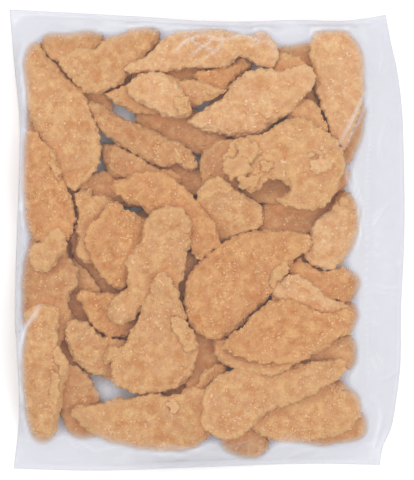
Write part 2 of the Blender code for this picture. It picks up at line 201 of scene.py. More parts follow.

# Every tender in the bag, from the bottom of the heap to its top.
# The tenders deep in the heap mostly take the toasted crust, which also paints the shade that falls on them.
TENDERS: tuple[Tender, ...] = (
    Tender("fill_top_right", 8, TOASTED_AND_SHADED, spindle(0, 98, 68, 120, 0, 34, 0.4, 0.5)),
    Tender("fill_hook", 8, TOASTED_AND_SHADED, spindle(44, 66, 104, 72, 0, 34, 0.4, 0.5)),
    Tender("fill_centre", 8, TOASTED_AND_SHADED, spindle(-52, 26, -22, -34, 0, 34, 0.4, 0.5)),
    Tender("fill_right", 8, TOASTED_AND_SHADED, spindle(10, -44, 78, -10, 0, 38, 0.4, 0.5)),
    Tender("fill_low_right", 8, TOASTED_AND_SHADED, spindle(30, -66, 106, -76, 0, 36, 0.4, 0.5)),
    Tender("fill_low_mid", 8, TOASTED_AND_SHADED, spindle(-70, -74, -16, -108, 0, 36, 0.4, 0.5)),
    Tender("fill_bottom", 8, GOLDEN, spindle(-82, -146, -8, -144, 0, 32, 0.4, 0.5)),
    Tender("fill_left", 8, GOLDEN, spindle(-129, 84, -121, 14, 0, 32, 0.4, 0.5)),
    Tender("fill_left_low", 8, GOLDEN, spindle(-127, -70, -126, -146, 0, 32, 0.4, 0.5)),
    Tender("fill_bottom_right", 8, GOLDEN, spindle(36, -130, 112, -122, 0, 34, 0.4, 0.5)),
    Tender("fill_top_left", 8, GOLDEN, spindle(-116, 116, -54, 140, 0, 32, 0.4, 0.5)),
    Tender("fill_gap_centre", 8, TOASTED_AND_SHADED, spindle(-14, -8, -8, -78, 0, 32, 0.4, 0.5)),
    Tender("fill_gap_upper_right", 8, TOASTED_AND_SHADED, spindle(64, 130, 92, 82, 0, 30, 0.4, 0.5)),
    Tender("fill_gap_top_left", 8, TOASTED_AND_SHADED, spindle(-118, 152, -78, 98, 0, 28, 0.4, 0.5)),
    Tender("fill_gap_left", 8, TOASTED_AND_SHADED, spindle(-108, 52, -106, -30, 0, 28, 0.4, 0.5)),
    Tender("fill_gap_right", 8, TOASTED_AND_SHADED, spindle(66, 12, 86, -66, 0, 32, 0.4, 0.5)),
    Tender("fill_gap_middle", 8, TOASTED_AND_SHADED, spindle(-8, 60, 24, 6, 0, 32, 0.4, 0.5)),
    Tender("fill_gap_low", 8, TOASTED_AND_SHADED, spindle(8, -110, 30, -150, 0, 30, 0.4, 0.5)),
    Tender("fill_top_middle", 8, GOLDEN, spindle(-60, 128, 12, 146, 0, 32, 0.4, 0.5)),
    Tender("b_upper_mid", 9, TOASTED_AND_SHADED, spindle(-58, 102, 16, 74, 3, 34, 0.45, 0.45)),
    Tender("b_left_mid", 9, TOASTED_AND_SHADED, spindle(-102, 46, -30, 34, 0, 26, 0.4, 0.4)),
    Tender("b_left_centre", 9, TOASTED_AND_SHADED, spindle(-104, 10, -62, -56, 0, 36, 0.45, 0.45)),
    Tender("b_left_low", 9, TOASTED_AND_SHADED, spindle(-116, -16, -84, -82, 0, 34, 0.4, 0.4)),
    Tender("b_left_lower", 9, TOASTED_AND_SHADED, spindle(-120, -54, -100, -118, 0, 28, 0.4, 0.4)),
    Tender("b_corner", 9, TOASTED_AND_SHADED, spindle(-114, -98, -95, -160, 2, 34, 0.55, 0.4)),
    Tender("b_low_mid", 9, TOASTED_AND_SHADED, spindle(-56, -126, -12, -114, 0, 22, 0.4, 0.4)),
    Tender("b_low_centre", 9, TOASTED_AND_SHADED, spindle(4, -56, -8, -126, 0, 34, 0.4, 0.4)),
    Tender("b_right", 9, TOASTED_AND_SHADED, spindle(32, 4, 112, 38, 0, 40, 0.4, 0.4)),
    Tender("b_bay", 9, TOASTED_AND_SHADED, spindle(20, 40, 92, 48, 0, 28, 0.4, 0.4)),
    Tender("b_centre", 9, TOASTED_AND_SHADED, spindle(-58, 66, 2, 40, 0, 26, 0.4, 0.4)),
    Tender("b_upper_right", 9, TOASTED_AND_SHADED, spindle(6, 64, 92, 76, 0, 30, 0.4, 0.4)),
    Tender("b_left_edge", 9, TOASTED_AND_SHADED, spindle(-133, 128, -128, 50, 0, 30, 0.4, 0.4)),
    Tender("b_top_left", 9, GOLDEN, shown(
        (40, 46), (42, 35), (48, 32), (60, 33), (75, 31), (87, 29), (95, 33), (102, 31), (104, 40),
        (97, 54), (80, 60), (58, 62), (46, 55)
    )),
    Tender("b_top_right", 9, GOLDEN, spindle(48, 142, 104, 150, 0, 24, 0.4, 0.4)),
    Tender("b_right_edge", 9, GOLDEN, spindle(110, 130, 105, 54, 5, 29, 0.4, 0.6)),
    Tender("b_right_nub", 9, GOLDEN, spindle(80, 40, 115, 53, 0, 20, 0.4, 0.4)),
    Tender("b_corner_right", 9, GOLDEN, shown(
        (280, 436), (318, 424), (345, 414), (362, 413), (368, 422), (368, 431), (362, 440), (348, 444),
        (325, 446), (298, 444)
    )),
    Tender("b_bottom_nub", 9, ROSY, shown(
        (217, 437), (226, 452), (236, 456), (250, 460), (262, 458), (269, 446), (264, 430), (256, 402),
        (240, 388), (224, 398), (216, 418)
    )),
    Tender("b_right_low", 9, TOASTED_AND_SHADED, spindle(70, -90, 118, -82, 0, 24, 0.4, 0.4)),
    Tender("m_mid", 11, TOASTED_AND_SHADED, shown(
        (201, 160), (206, 150), (218, 142), (234, 140), (240, 152), (240, 178), (236, 196), (222, 200),
        (208, 196), (201, 182)
    )),
    Tender("m_left_mid", 11, TOASTED_AND_SHADED, shown(
        (98, 150), (104, 142), (118, 146), (138, 156), (158, 168), (172, 170), (182, 178), (172, 186),
        (152, 184), (128, 180), (110, 172)
    )),
    Tender("m_upper_tip", 10, GOLDEN, shown(
        (105, 95), (108, 91), (118, 88), (132, 84), (150, 90), (168, 104), (164, 112), (148, 114),
        (132, 111), (120, 106)
    )),
    Tender("m_upper_right", 11, AMBER, shown(
        (196, 74), (215, 67), (232, 62), (241, 56), (249, 60), (252, 68), (240, 76), (231, 88),
        (220, 93), (206, 90), (197, 84)
    )),
    Tender("m_wedge", 11, GOLDEN, shown(
        (296, 98), (306, 97), (314, 103), (322, 115), (328, 128), (326, 138), (312, 140), (298, 130),
        (288, 116)
    )),
    Tender("m_top_right", 10, GOLDEN, shown(
        (268, 70), (271, 60), (280, 53), (290, 54), (300, 58), (310, 66), (306, 76), (290, 82),
        (274, 80)
    )),
    Tender("m_left_low", 12, TOASTED_AND_SHADED, shown(
        (36, 236), (60, 240), (70, 258), (78, 267), (78, 282), (71, 292), (70, 306), (72, 318),
        (66, 338), (50, 352), (30, 346), (22, 322), (21, 290), (23, 262), (28, 245)
    )),
    Tender("m_left_knobby", 11, GOLDEN, shown(
        (74, 201), (75, 194), (81, 190), (86, 191), (90, 187), (93, 196), (101, 194), (114, 201),
        (114, 214), (100, 232), (98, 256), (88, 264), (80, 258), (76, 248), (78, 238), (75, 230),
        (78, 220), (77, 209)
    )),
    Tender("m_low_left", 12, AMBER, shown(
        (77, 297), (79, 292), (88, 290), (100, 292), (113, 293), (128, 300), (142, 320), (132, 334),
        (115, 338), (98, 331), (89, 322), (83, 308)
    )),
    Tender("m_lower_left", 12, GOLDEN, shown(
        (66, 330), (69, 322), (76, 320), (88, 322), (97, 332), (108, 339), (124, 340), (132, 352),
        (128, 368), (118, 380), (104, 379), (90, 373), (78, 364), (69, 352)
    )),
    Tender("m_ridge", 10, GOLDEN, shown(
        (178, 398), (186, 390), (198, 382), (202, 372), (212, 366), (222, 362), (228, 368), (222, 378),
        (208, 388), (194, 400)
    )),
    Tender("m_right_low", 11, GOLDEN, shown(
        (282, 366), (300, 352), (322, 342), (346, 335), (356, 344), (357, 361), (351, 369), (330, 374),
        (300, 376)
    )),
    Tender("m_centre", 13, GOLDEN, shown(
        (198, 192), (206, 183), (217, 178), (228, 181), (238, 190), (250, 197), (259, 206), (263, 218),
        (257, 229), (242, 235), (226, 243), (210, 242), (201, 228), (196, 208)
    )),
    Tender("m_top_left", 13, GOLDEN, shown(
        (60, 62), (65, 56), (72, 53), (77, 49), (87, 49), (94, 50), (103, 41), (118, 34), (135, 26),
        (150, 25), (159, 31), (157, 42), (146, 55), (134, 68), (122, 82), (106, 91), (93, 95),
        (83, 91), (72, 80)
    )),
    Tender("m_right_fold", 10, PALE, shown(
        (322, 298), (335, 297), (346, 299), (357, 307), (361, 316), (350, 324), (334, 322), (322, 312)
    )),
    Tender("upper_left", 12, TOASTED_AND_SHADED, shown(
        (88, 103), (97, 102), (106, 107), (117, 115), (133, 122), (150, 128), (166, 137), (180, 143),
        (191, 150), (197, 161), (195, 169), (184, 169), (177, 165), (166, 169), (154, 165), (140, 156),
        (124, 148), (108, 138), (97, 126), (91, 114)
    )),
    Tender("upper_small", 11, GOLDEN, shown(
        (166, 75), (178, 79), (196, 80), (214, 86), (227, 90), (220, 95), (206, 101), (192, 106),
        (180, 98), (170, 86)
    )),
    Tender("upper_mid", 12, PALE, shown(
        (133, 80), (141, 74), (152, 72), (164, 74), (176, 83), (184, 94), (191, 105), (190, 114),
        (180, 118), (166, 116), (154, 110), (141, 104), (130, 96), (128, 87)
    )),
    Tender("arc", 12, AMBER, shown(
        (112, 188), (116, 182), (128, 177), (134, 173), (140, 173), (152, 171), (164, 172), (175, 180),
        (190, 193), (202, 208), (213, 221), (220, 236), (220, 244), (211, 252), (203, 259), (194, 257),
        (188, 244), (180, 226), (168, 216), (150, 214), (142, 206), (130, 203), (120, 196)
    )),
    Tender("centre_left", 12, AMBER, shown(
        (110, 202), (117, 201), (124, 209), (134, 212), (140, 217), (152, 220), (154, 244), (144, 268),
        (132, 284), (122, 290), (113, 287), (100, 272), (91, 257), (86, 243), (88, 229), (97, 219),
        (103, 213), (106, 206)
    )),
    Tender("right", 13, PALE, shown(
        (340, 194), (348, 193), (358, 202), (361, 214), (358, 232), (354, 246), (346, 258), (336, 268),
        (322, 270), (309, 263), (303, 253), (309, 242), (311, 230), (319, 217), (331, 208)
    )),
    Tender("right_knobby", 11, AMBER, shown(
        (286, 266), (297, 259), (306, 262), (316, 269), (330, 271), (341, 267), (352, 271), (361, 279),
        (361, 288), (354, 296), (346, 303), (326, 300), (306, 290), (292, 280)
    )),
    Tender("right_finger", 10, PALE, shown(
        (272, 296), (278, 284), (288, 275), (300, 275), (312, 284), (326, 296), (340, 302), (352, 309),
        (346, 320), (326, 322), (300, 314), (280, 308)
    )),
    Tender("bottom_right", 13, GOLDEN, shown(
        (330, 380), (342, 382), (350, 389), (359, 396), (361, 411), (355, 424), (344, 433), (328, 438),
        (300, 443), (278, 441), (258, 434), (248, 424), (262, 410), (288, 396), (310, 384)
    )),
    Tender("left_long", 13, GOLDEN, shown(
        (26, 50), (30, 42), (38, 42), (45, 54), (57, 65), (70, 79), (84, 93), (91, 110), (98, 130),
        (101, 148), (99, 162), (90, 177), (80, 189), (70, 190), (60, 176), (50, 156), (38, 134),
        (28, 110), (24, 84), (22, 64)
    )),
    Tender("left_bottom", 13, GOLDEN, shown(
        (26, 336), (24, 322), (30, 309), (42, 305), (54, 306), (60, 314), (58, 330), (60, 346),
        (67, 360), (69, 372), (63, 384), (62, 402), (58, 418), (54, 432), (48, 444), (38, 446),
        (32, 440), (27, 424), (24, 404), (21, 382), (21, 360)
    )),
    Tender("bottom_long", 13, GOLDEN, shown(
        (69, 412), (74, 406), (90, 405), (104, 402), (118, 399), (134, 397), (152, 392), (172, 395),
        (188, 389), (204, 389), (214, 398), (216, 416), (210, 434), (198, 445), (180, 451), (160, 453),
        (138, 450), (116, 445), (98, 438), (84, 427), (74, 419)
    )),
    Tender("right_upright", 13, PALE, shown(
        (312, 38), (318, 29), (330, 30), (343, 29), (355, 38), (363, 51), (366, 70), (364, 94),
        (358, 118), (352, 135), (345, 150), (338, 148), (331, 136), (326, 118), (317, 95), (315, 74),
        (310, 54)
    )),
    Tender("hook", 12, GOLDEN, shown(
        (222, 160), (229, 150), (230, 145), (236, 140), (250, 136), (264, 134), (278, 125), (292, 119),
        (308, 120), (320, 129), (334, 139), (342, 153), (345, 166), (340, 180), (336, 193), (327, 204),
        (312, 210), (296, 209), (281, 204), (275, 200), (285, 196), (291, 189), (284, 182), (273, 179),
        (264, 183), (258, 190), (248, 191), (239, 184), (231, 173)
    )),
    Tender("top_long", 12, PALE, shown(
        (124, 70), (131, 63), (142, 59), (152, 51), (162, 40), (174, 33), (186, 30), (204, 29),
        (224, 30), (244, 34), (253, 33), (262, 29), (270, 36), (278, 46), (278, 58), (273, 68),
        (262, 68), (254, 62), (246, 57), (239, 56), (233, 62), (222, 67), (204, 68), (186, 67),
        (168, 71), (148, 73), (134, 72)
    )),
    Tender("upper_right", 13, PALE, shown(
        (188, 123), (190, 117), (202, 111), (214, 103), (224, 96), (231, 86), (240, 77), (251, 71),
        (266, 70), (282, 71), (296, 66), (308, 67), (315, 76), (313, 87), (304, 96), (296, 106),
        (284, 118), (270, 128), (254, 136), (238, 138), (220, 134), (204, 131)
    )),
    Tender("centre", 13, GOLDEN, shown(
        (147, 220), (153, 211), (162, 207), (173, 206), (184, 213), (191, 224), (191, 240), (187, 254),
        (184, 270), (179, 284), (168, 298), (152, 306), (143, 309), (134, 319), (122, 324), (111, 320),
        (108, 309), (115, 297), (127, 289), (128, 272), (126, 262), (135, 250), (142, 238)
    )),
    Tender("low_centre", 13, GOLDEN, shown(
        (155, 279), (160, 274), (167, 274), (172, 283), (179, 293), (182, 306), (186, 318), (187, 329),
        (196, 338), (198, 350), (194, 366), (188, 379), (176, 388), (160, 392), (140, 394), (124, 389),
        (113, 382), (111, 370), (112, 361), (104, 364), (103, 356), (110, 348), (124, 345), (131, 333),
        (138, 318), (146, 300), (151, 290)
    )),
    Tender("bottom_mid", 13, GOLDEN, shown(
        (203, 400), (206, 389), (214, 379), (228, 370), (246, 368), (264, 371), (282, 367), (300, 362),
        (322, 361), (342, 359), (346, 367), (338, 377), (322, 388), (304, 399), (286, 405), (268, 411),
        (256, 421), (244, 431), (228, 439), (214, 434), (205, 425), (202, 412)
    )),
    Tender("low_rim", 10, GOLDEN, shown(
        (216, 339), (226, 338), (244, 350), (270, 354), (296, 356), (292, 364), (284, 371), (268, 375),
        (252, 373), (236, 369), (222, 363), (215, 352)
    )),
    Tender("low_right", 13, AMBER, shown(
        (222, 345), (231, 334), (243, 327), (252, 316), (264, 305), (278, 300), (294, 300), (310, 308),
        (324, 314), (338, 311), (350, 310), (357, 319), (350, 332), (338, 337), (330, 345), (314, 353),
        (296, 361), (274, 363), (252, 361), (236, 355), (226, 350)
    )),
    Tender("centre_right", 13, AMBER, shown(
        (312, 241), (306, 234), (292, 231), (272, 230), (252, 231), (232, 238), (216, 248), (200, 261),
        (190, 276), (185, 292), (185, 308), (190, 324), (202, 335), (214, 340), (228, 335), (241, 328),
        (249, 316), (262, 305), (272, 292), (284, 279), (290, 266), (300, 255), (308, 249)
    )),
    Tender("left_mid", 13, AMBER, shown(
        (24, 140), (28, 133), (37, 133), (42, 140), (51, 147), (56, 157), (60, 168), (65, 182),
        (71, 198), (76, 214), (75, 226), (71, 238), (60, 243), (46, 245), (33, 238), (26, 224),
        (22, 204), (21, 180), (22, 158)
    )),
    Tender("left_nub", 10, GOLDEN, shown(
        (56, 230), (64, 230), (67, 240), (66, 252), (59, 258), (54, 267), (43, 273), (35, 269),
        (30, 258), (33, 246), (44, 241)
    )),
    crag("hook_end", 5, GOLDEN,
         (223, 170), (221, 164), (225, 162), (228, 156), (234, 158), (238, 153), (244, 157),
         (249, 158), (248, 165), (252, 171), (246, 174), (243, 181), (236, 178), (231, 183), (227, 177)),
    crag("hook_top", 5, GOLDEN,
         (234, 148), (236, 142), (242, 143), (246, 139), (251, 143), (257, 142), (258, 149),
         (262, 154), (255, 156), (250, 161), (244, 157), (238, 156)),
    crag("hook_low", 5, GOLDEN,
         (238, 180), (243, 176), (248, 179), (252, 174), (258, 176), (259, 183), (254, 186),
         (251, 191), (245, 188), (240, 188)),
    crag("hook_inner", 4, GOLDEN,
         (258, 163), (263, 160), (267, 163), (272, 162), (273, 168), (268, 170), (266, 174), (261, 171)),
    crag("hook_flake", 4.5, PALE,
         (309, 166), (311, 161), (316, 160), (319, 156), (324, 159), (329, 161), (331, 167),
         (327, 170), (322, 171), (318, 175), (314, 172), (310, 170)),
    crag("hook_bit", 3, PALE,
         (306, 155), (309, 152), (312, 154), (316, 152), (317, 156), (312, 159), (308, 159)),
    crag("hook_chip", 3, PALE,
         (318, 148), (321, 146), (324, 148), (322, 152), (318, 151)),
    crag("left_side", 5, GOLDEN,
         (58, 344), (65, 354), (70, 366), (67, 376), (61, 374), (57, 362), (55, 352)),
    crag("left_low", 4, GOLDEN,
         (52, 370), (60, 376), (61, 390), (56, 404), (50, 398), (49, 382)),
    crag("low_side", 5, GOLDEN,
         (172, 318), (181, 316), (189, 326), (197, 338), (197, 350), (188, 352), (180, 342), (174, 330)),
    crag("centre_side", 4, GOLDEN,
         (268, 280), (276, 268), (284, 262), (288, 268), (282, 280), (272, 290)),
    crag("bottom_flake", 3.5, PALE,
         (168, 404), (173, 398), (179, 402), (179, 410), (172, 413)),
    crag("mid_side", 5, GOLDEN,
         (52, 152), (58, 160), (62, 172), (60, 182), (54, 176), (50, 164)),
    crag("upper_side", 4, GOLDEN,
         (176, 98), (186, 98), (192, 106), (189, 114), (180, 116), (174, 108)),
    crag("upper_flake", 3, PALE,
         (262, 114), (267, 110), (272, 114), (268, 119), (263, 118)),
    crag("right_top", 4, GOLDEN,
         (338, 196), (348, 193), (357, 201), (354, 210), (344, 208), (338, 204)),
)

# Corners of the flattened bag, and how far each edge swings out from the straight
# line between them: pairs of the share of the edge and the distance.
CORNER_TOP_LEFT = (-158.7, 185.4)
CORNER_TOP_RIGHT = (144.0, 181.2)
CORNER_BOTTOM_RIGHT = (138.9, -180.8)
CORNER_BOTTOM_LEFT = (-155.3, -183.8)
TOP_SWING = ((0, 0), (0.12, -1.5), (0.25, -3.3), (0.38, -5.0), (0.52, -7.4), (0.62, -7.4),
             (0.76, -5.4), (0.89, -5.4), (0.96, -2.4), (1, 0))
RIGHT_SWING = ((0, 0), (0.06, 4.2), (0.12, 9.4), (0.2, 13.6), (0.32, 16.1), (0.5, 17.3),
               (0.66, 15.5), (0.79, 15.3), (0.86, 12.4), (0.92, 8.6), (0.96, 2.5), (1, 0))
BOTTOM_SWING = ((0, 0), (0.22, 2.1), (0.53, 0), (0.83, -1.6), (1, 0))
LEFT_SWING = ((0, 0), (0.11, -3.3), (0.24, -7.3), (0.36, -6.6), (0.5, -4.4), (0.67, -2.4),
              (0.82, -4.6), (0.9, -4.4), (1, 0))

# A tender's edge is this share of its thickness, and its dome is full at this share of
# the way from the edge to its deepest inside point.
BLUNT = 0.3
DOME = 0.6


class Crease(NamedTuple):
    """A fold in the film: its run, its height and width in mm, and how white it is, partly the film's own
    whitening in the crease and partly a painted glint.
    """

    points: tuple[tuple[float, float], ...]
    height: float
    width: float
    whitening_and_glint: float


# Folds and tucks of the upper sheet, whitened partly as creased film and partly as a painted glint.
CREASES = (
    Crease(((127, 120), (116, 96), (103, 73)), 2.2, 1.5, 0.8),
    Crease(((131, 118), (121, 94), (108, 70)), 1.4, 1.2, 0.6),
    Crease(((109, 66), (112, 48), (120, 32), (123, 8), (120, -8)), 1.6, 1.3, 0.7),
    Crease(((114, 66), (118, 48), (124, 30), (126, 4)), 1.0, 1.2, 0.35),
    Crease(((130, 140), (131, 90), (128, 48), (128, 5), (127, -58), (129, -106), (130, -123)),
           0.9, 1.3, 0.35),
    Crease(((133, 11), (139, 21), (146, 31)), 1.1, 1.0, 0.4),
    Crease(((132, 19), (136, 22), (140, 25)), 0.8, 0.9, 0.3),
    Crease(((133, 1), (136, -2), (138, -5)), 0.8, 1.0, 0.35),
    Crease(((132, -9), (135, -10), (139, -13)), 0.8, 1.0, 0.3),
    Crease(((135, -20), (146, -20), (157, -18)), 0.6, 0.9, 0.2),
    Crease(((132, -36), (145, -38), (157, -38)), 0.8, 1.0, 0.25),
    Crease(((131, -41), (143, -42), (156, -45)), 0.8, 1.0, 0.25),
    Crease(((132, -51), (135, -54), (138, -57)), 0.8, 1.0, 0.35),
    Crease(((132, -65), (134, -67), (137, -69)), 0.8, 1.0, 0.35),
    Crease(((131, -93), (135, -100), (141, -108)), 1.2, 1.2, 0.4),
    Crease(((135, -90), (140, -98), (142, -106)), 0.9, 1.1, 0.3),
    Crease(((138, -110), (145, -111), (154, -104)), 1.0, 1.1, 0.3),
    Crease(((129, -123), (140, -134), (140, -147), (135, -163), (131, -173)), 1.0, 1.3, 0.3),
    Crease(((141, 60), (138, 78), (143, 96)), 0.8, 1.4, 0.2),
    Crease(((137, 128), (141, 146), (138, 164)), 0.8, 1.4, 0.2),
    Crease(((-148, -100), (-149, -83), (-144, -69), (-136, -58), (-132, -50)), 1.4, 1.7, 0.95),
    Crease(((-150, 30), (-151, 12), (-150, -8)), 0.8, 2.6, 0.6),
    Crease(((-152, -112), (-148, -124), (-144, -134)), 0.8, 1.6, 0.4),
    Crease(((-27, 149), (-20, 157), (-9, 163), (3, 164)), 0.9, 1.0, 0.85),
    Crease(((-14, 147), (-6, 153), (2, 158), (8, 166)), 0.8, 0.9, 0.75),
    Crease(((-3, 145), (6, 150), (13, 158), (11, 165)), 0.8, 0.9, 0.75),
    Crease(((-19, 165), (-10, 158), (1, 153), (13, 149)), 0.7, 0.9, 0.8),
    Crease(((-6, 167), (6, 161), (19, 161), (31, 166)), 0.9, 1.0, 0.85),
    Crease(((29, 165), (38, 160), (47, 164)), 0.8, 0.9, 0.75),
    Crease(((35, 153), (43, 160), (51, 156), (56, 147)), 0.8, 0.9, 0.8),
    Crease(((-90, 176), (-60, 172), (-30, 174)), 0.8, 1.4, 0.3),
    Crease(((60, 176), (84, 170), (104, 172)), 0.8, 1.4, 0.3),
    Crease(((60, -177), (74, -170), (100, -166)), 0.9, 1.5, 0.3),
    Crease(((26, -173), (4, -171), (-20, -166), (-40, -162)), 1.0, 1.3, 0.5),
    Crease(((-62, -160), (-76, -166), (-90, -170), (-98, -164), (-106, -160)), 0.9, 1.3, 0.3),
    Crease(((-112, -158), (-106, -165), (-98, -168)), 0.8, 1.2, 0.25),
)


def linear(hexcode: str) -> tuple[float, float, float, float]:
    """Turn an sRGB hex colour into the linear colour that the shaders take.

    Args:
        hexcode: Six hex digits after a number sign.

    Returns:
        Linear red, green and blue, with an alpha of one.
    """
    values = []
    for start in (1, 3, 5):
        share = int(hexcode[start:start + 2], 16) / 255
        values.append(share / 12.92 if share <= 0.04045 else ((share + 0.055) / 1.055) ** 2.4)
    return values[0], values[1], values[2], 1.0


def add(tree: bpy.types.NodeTree, kind: str, links: dict[str | int, Any] | None = None,
        **settings: Any) -> bpy.types.Node:
    """Add a node to a material, with its settings and its links.

    Args:
        tree: The material's node tree.
        kind: The node's type name.
        links: Input name or index to a value, or to the socket that feeds it.
        settings: Properties of the node itself.

    Returns:
        The new node.
    """
    node = tree.nodes.new(kind)
    for name, value in settings.items():
        setattr(node, name, value)
    for name, value in (links or {}).items():
        socket = node.inputs[name]
        if isinstance(value, bpy.types.NodeSocket):
            tree.links.new(value, socket)
        else:
            socket.default_value = value
    return node


def ramp(node: bpy.types.Node, stops: tuple[tuple[float, str], ...]) -> bpy.types.Node:
    """Set a colour ramp's stops.

    Args:
        node: A colour ramp node.
        stops: Position and hex colour of each stop, in order.

    Returns:
        The same node.
    """
    elements = node.color_ramp.elements
    while len(elements) > len(stops):
        elements.remove(elements[-1])
    while len(elements) < len(stops):
        elements.new(1.0)
    for element, (position, colour) in zip(elements, stops):
        element.position = position
        element.color = linear(colour)
    return node


@dataclass(frozen=True)
class Breading:
    """Fried and frozen breadcrumb coating on chicken.

    Wheat crumbs fried in oil and then frozen: matte, golden where the crumbs are thick, deeper
    where the batter shows between them, and dotted with pale crumbs. Its colour also holds
    painted shade in the hollows of the relief and where the crust lies below its neighbours,
    and a painted highlight on the relief's crests; on the loose crumbs that stand out the same
    mark gives each crumb its own paleness. The pattern's sizes are the real ones, in millimetres.
    """

    name: str
    base: str
    deep: str
    light: str
    crumb: str
    batter: str
    # Painted shade: the colour that crust lying below its neighbours darkens toward, and how far it goes.
    painted_shade: str = "#de9b60"
    painted_shade_share: float = 0.6
    speck_mm: float = 2.6
    roughness: float = 0.8
    crumb_mm: float = 2.4
    patch_mm: float = 8.0
    cluster_mm: float = 26.0
    grit_mm: float = 1.3

    def material(self) -> bpy.types.Material:
        """Build the crust on object coordinates.

        Returns:
            The new material.
        """
        material = bpy.data.materials.new(self.name)
        material.use_nodes = True
        tree = material.node_tree
        place = add(tree, "ShaderNodeTexCoord").outputs["Object"]
        crumbs = add(tree, "ShaderNodeTexVoronoi", {"Vector": place, "Scale": 1000 / self.crumb_mm})
        grit = add(tree, "ShaderNodeTexNoise",
                   {"Vector": place, "Scale": 1000 / self.grit_mm, "Detail": 2.0, "Roughness": 0.7})
        colour = self._colour(tree, place, crumbs, grit)
        rise = add(tree, "ShaderNodeMath", {0: crumbs.outputs["Distance"], 1: -1.0}, operation="MULTIPLY")
        height = add(tree, "ShaderNodeMath", {0: grit.outputs["Fac"], 1: 0.8, 2: rise.outputs["Value"]},
                     operation="MULTIPLY_ADD")
        relief = add(tree, "ShaderNodeBump",
                     {"Height": height.outputs["Value"], "Strength": 0.7, "Distance": 0.8 * MM})
        shader = tree.nodes["Principled BSDF"]
        shader.inputs["Roughness"].default_value = self.roughness
        shader.inputs["Specular IOR Level"].default_value = 0.25
        tree.links.new(colour, shader.inputs["Base Color"])
        tree.links.new(relief.outputs["Normal"], shader.inputs["Normal"])
        return material

    def _colour(self, tree: bpy.types.NodeTree, place: bpy.types.NodeSocket, crumbs: bpy.types.Node,
                grit: bpy.types.Node) -> bpy.types.NodeSocket:
        """Mix the browning, the crumbs' own shades and the pale flecks, with painted shade in the hollows
        and below the neighbours and a painted highlight on the crests.

        Args:
            tree: The material's node tree.
            place: Object coordinates.
            crumbs: The crumb pattern.
            grit: The fine grain between the crumbs.

        Returns:
            The socket that carries the crust's colour.
        """
        browning = add(tree, "ShaderNodeTexNoise",
                       {"Vector": place, "Scale": 1000 / self.patch_mm, "Detail": 3.0, "Roughness": 0.62})
        gold = ramp(add(tree, "ShaderNodeValToRGB", {"Fac": browning.outputs["Fac"]}),
                    ((0.36, self.deep), (0.5, self.base), (0.64, self.light)))
        batter = add(tree, "ShaderNodeTexNoise", {"Vector": place, "Scale": 1000 / (1.7 * self.patch_mm),
                                                  "Detail": 2.0, "Roughness": 0.6, "Distortion": 0.4})
        bare = add(tree, "ShaderNodeMapRange", {"Value": batter.outputs["Fac"], "From Min": 0.48,
                                                "From Max": 0.62, "To Min": 0.0, "To Max": 0.55})
        tone = add(tree, "ShaderNodeMix", {0: bare.outputs["Result"], 6: gold.outputs["Color"],
                                           7: linear(self.batter)}, data_type="RGBA")
        own = add(tree, "ShaderNodeSeparateColor", {"Color": crumbs.outputs["Color"]})
        shade = add(tree, "ShaderNodeMapRange", {"Value": own.outputs["Red"], "To Min": 0.95,
                                                 "To Max": 1.05})
        grain = add(tree, "ShaderNodeMapRange", {"Value": grit.outputs["Fac"], "From Min": 0.3,
                                                 "From Max": 0.7, "To Min": 0.93, "To Max": 1.07})
        both = add(tree, "ShaderNodeMath", {0: shade.outputs["Result"], 1: grain.outputs["Result"]},
                   operation="MULTIPLY")
        mottled = add(tree, "ShaderNodeVectorMath", {0: tone.outputs[2], "Scale": both.outputs["Value"]},
                      operation="SCALE")
        flake = add(tree, "ShaderNodeTexNoise", {"Vector": place, "Scale": 1000 / (1.5 * self.crumb_mm),
                                                 "Detail": 3.0, "Roughness": 0.65, "Distortion": 0.6})
        spot = add(tree, "ShaderNodeMapRange", {"Value": flake.outputs["Fac"], "From Min": 0.6,
                                                "From Max": 0.68, "To Min": 0.0, "To Max": 0.75})
        clusters = add(tree, "ShaderNodeTexNoise", {"Vector": place, "Scale": 1000 / self.cluster_mm,
                                                    "Detail": 2.0, "Roughness": 0.55})
        crowding = add(tree, "ShaderNodeMapRange", {"Value": clusters.outputs["Fac"], "From Min": 0.43,
                                                    "From Max": 0.57, "To Min": 0.4, "To Max": 1.3})
        spots = add(tree, "ShaderNodeMath", {0: spot.outputs["Result"], 1: crowding.outputs["Result"]},
                    operation="MULTIPLY")
        raised = add(tree, "ShaderNodeAttribute", attribute_name="raised").outputs["Fac"]
        # Painted shade: the hollows of the relief darken toward the deep colour.
        hollow_shade = add(tree, "ShaderNodeMapRange", {"Value": raised, "From Min": 0.5, "From Max": 0.25,
                                               "To Min": 0.0, "To Max": 0.75})
        hollow_shaded = add(tree, "ShaderNodeMix", {0: hollow_shade.outputs["Result"], 6: mottled.outputs["Vector"],
                                             7: linear(self.deep)}, data_type="RGBA")
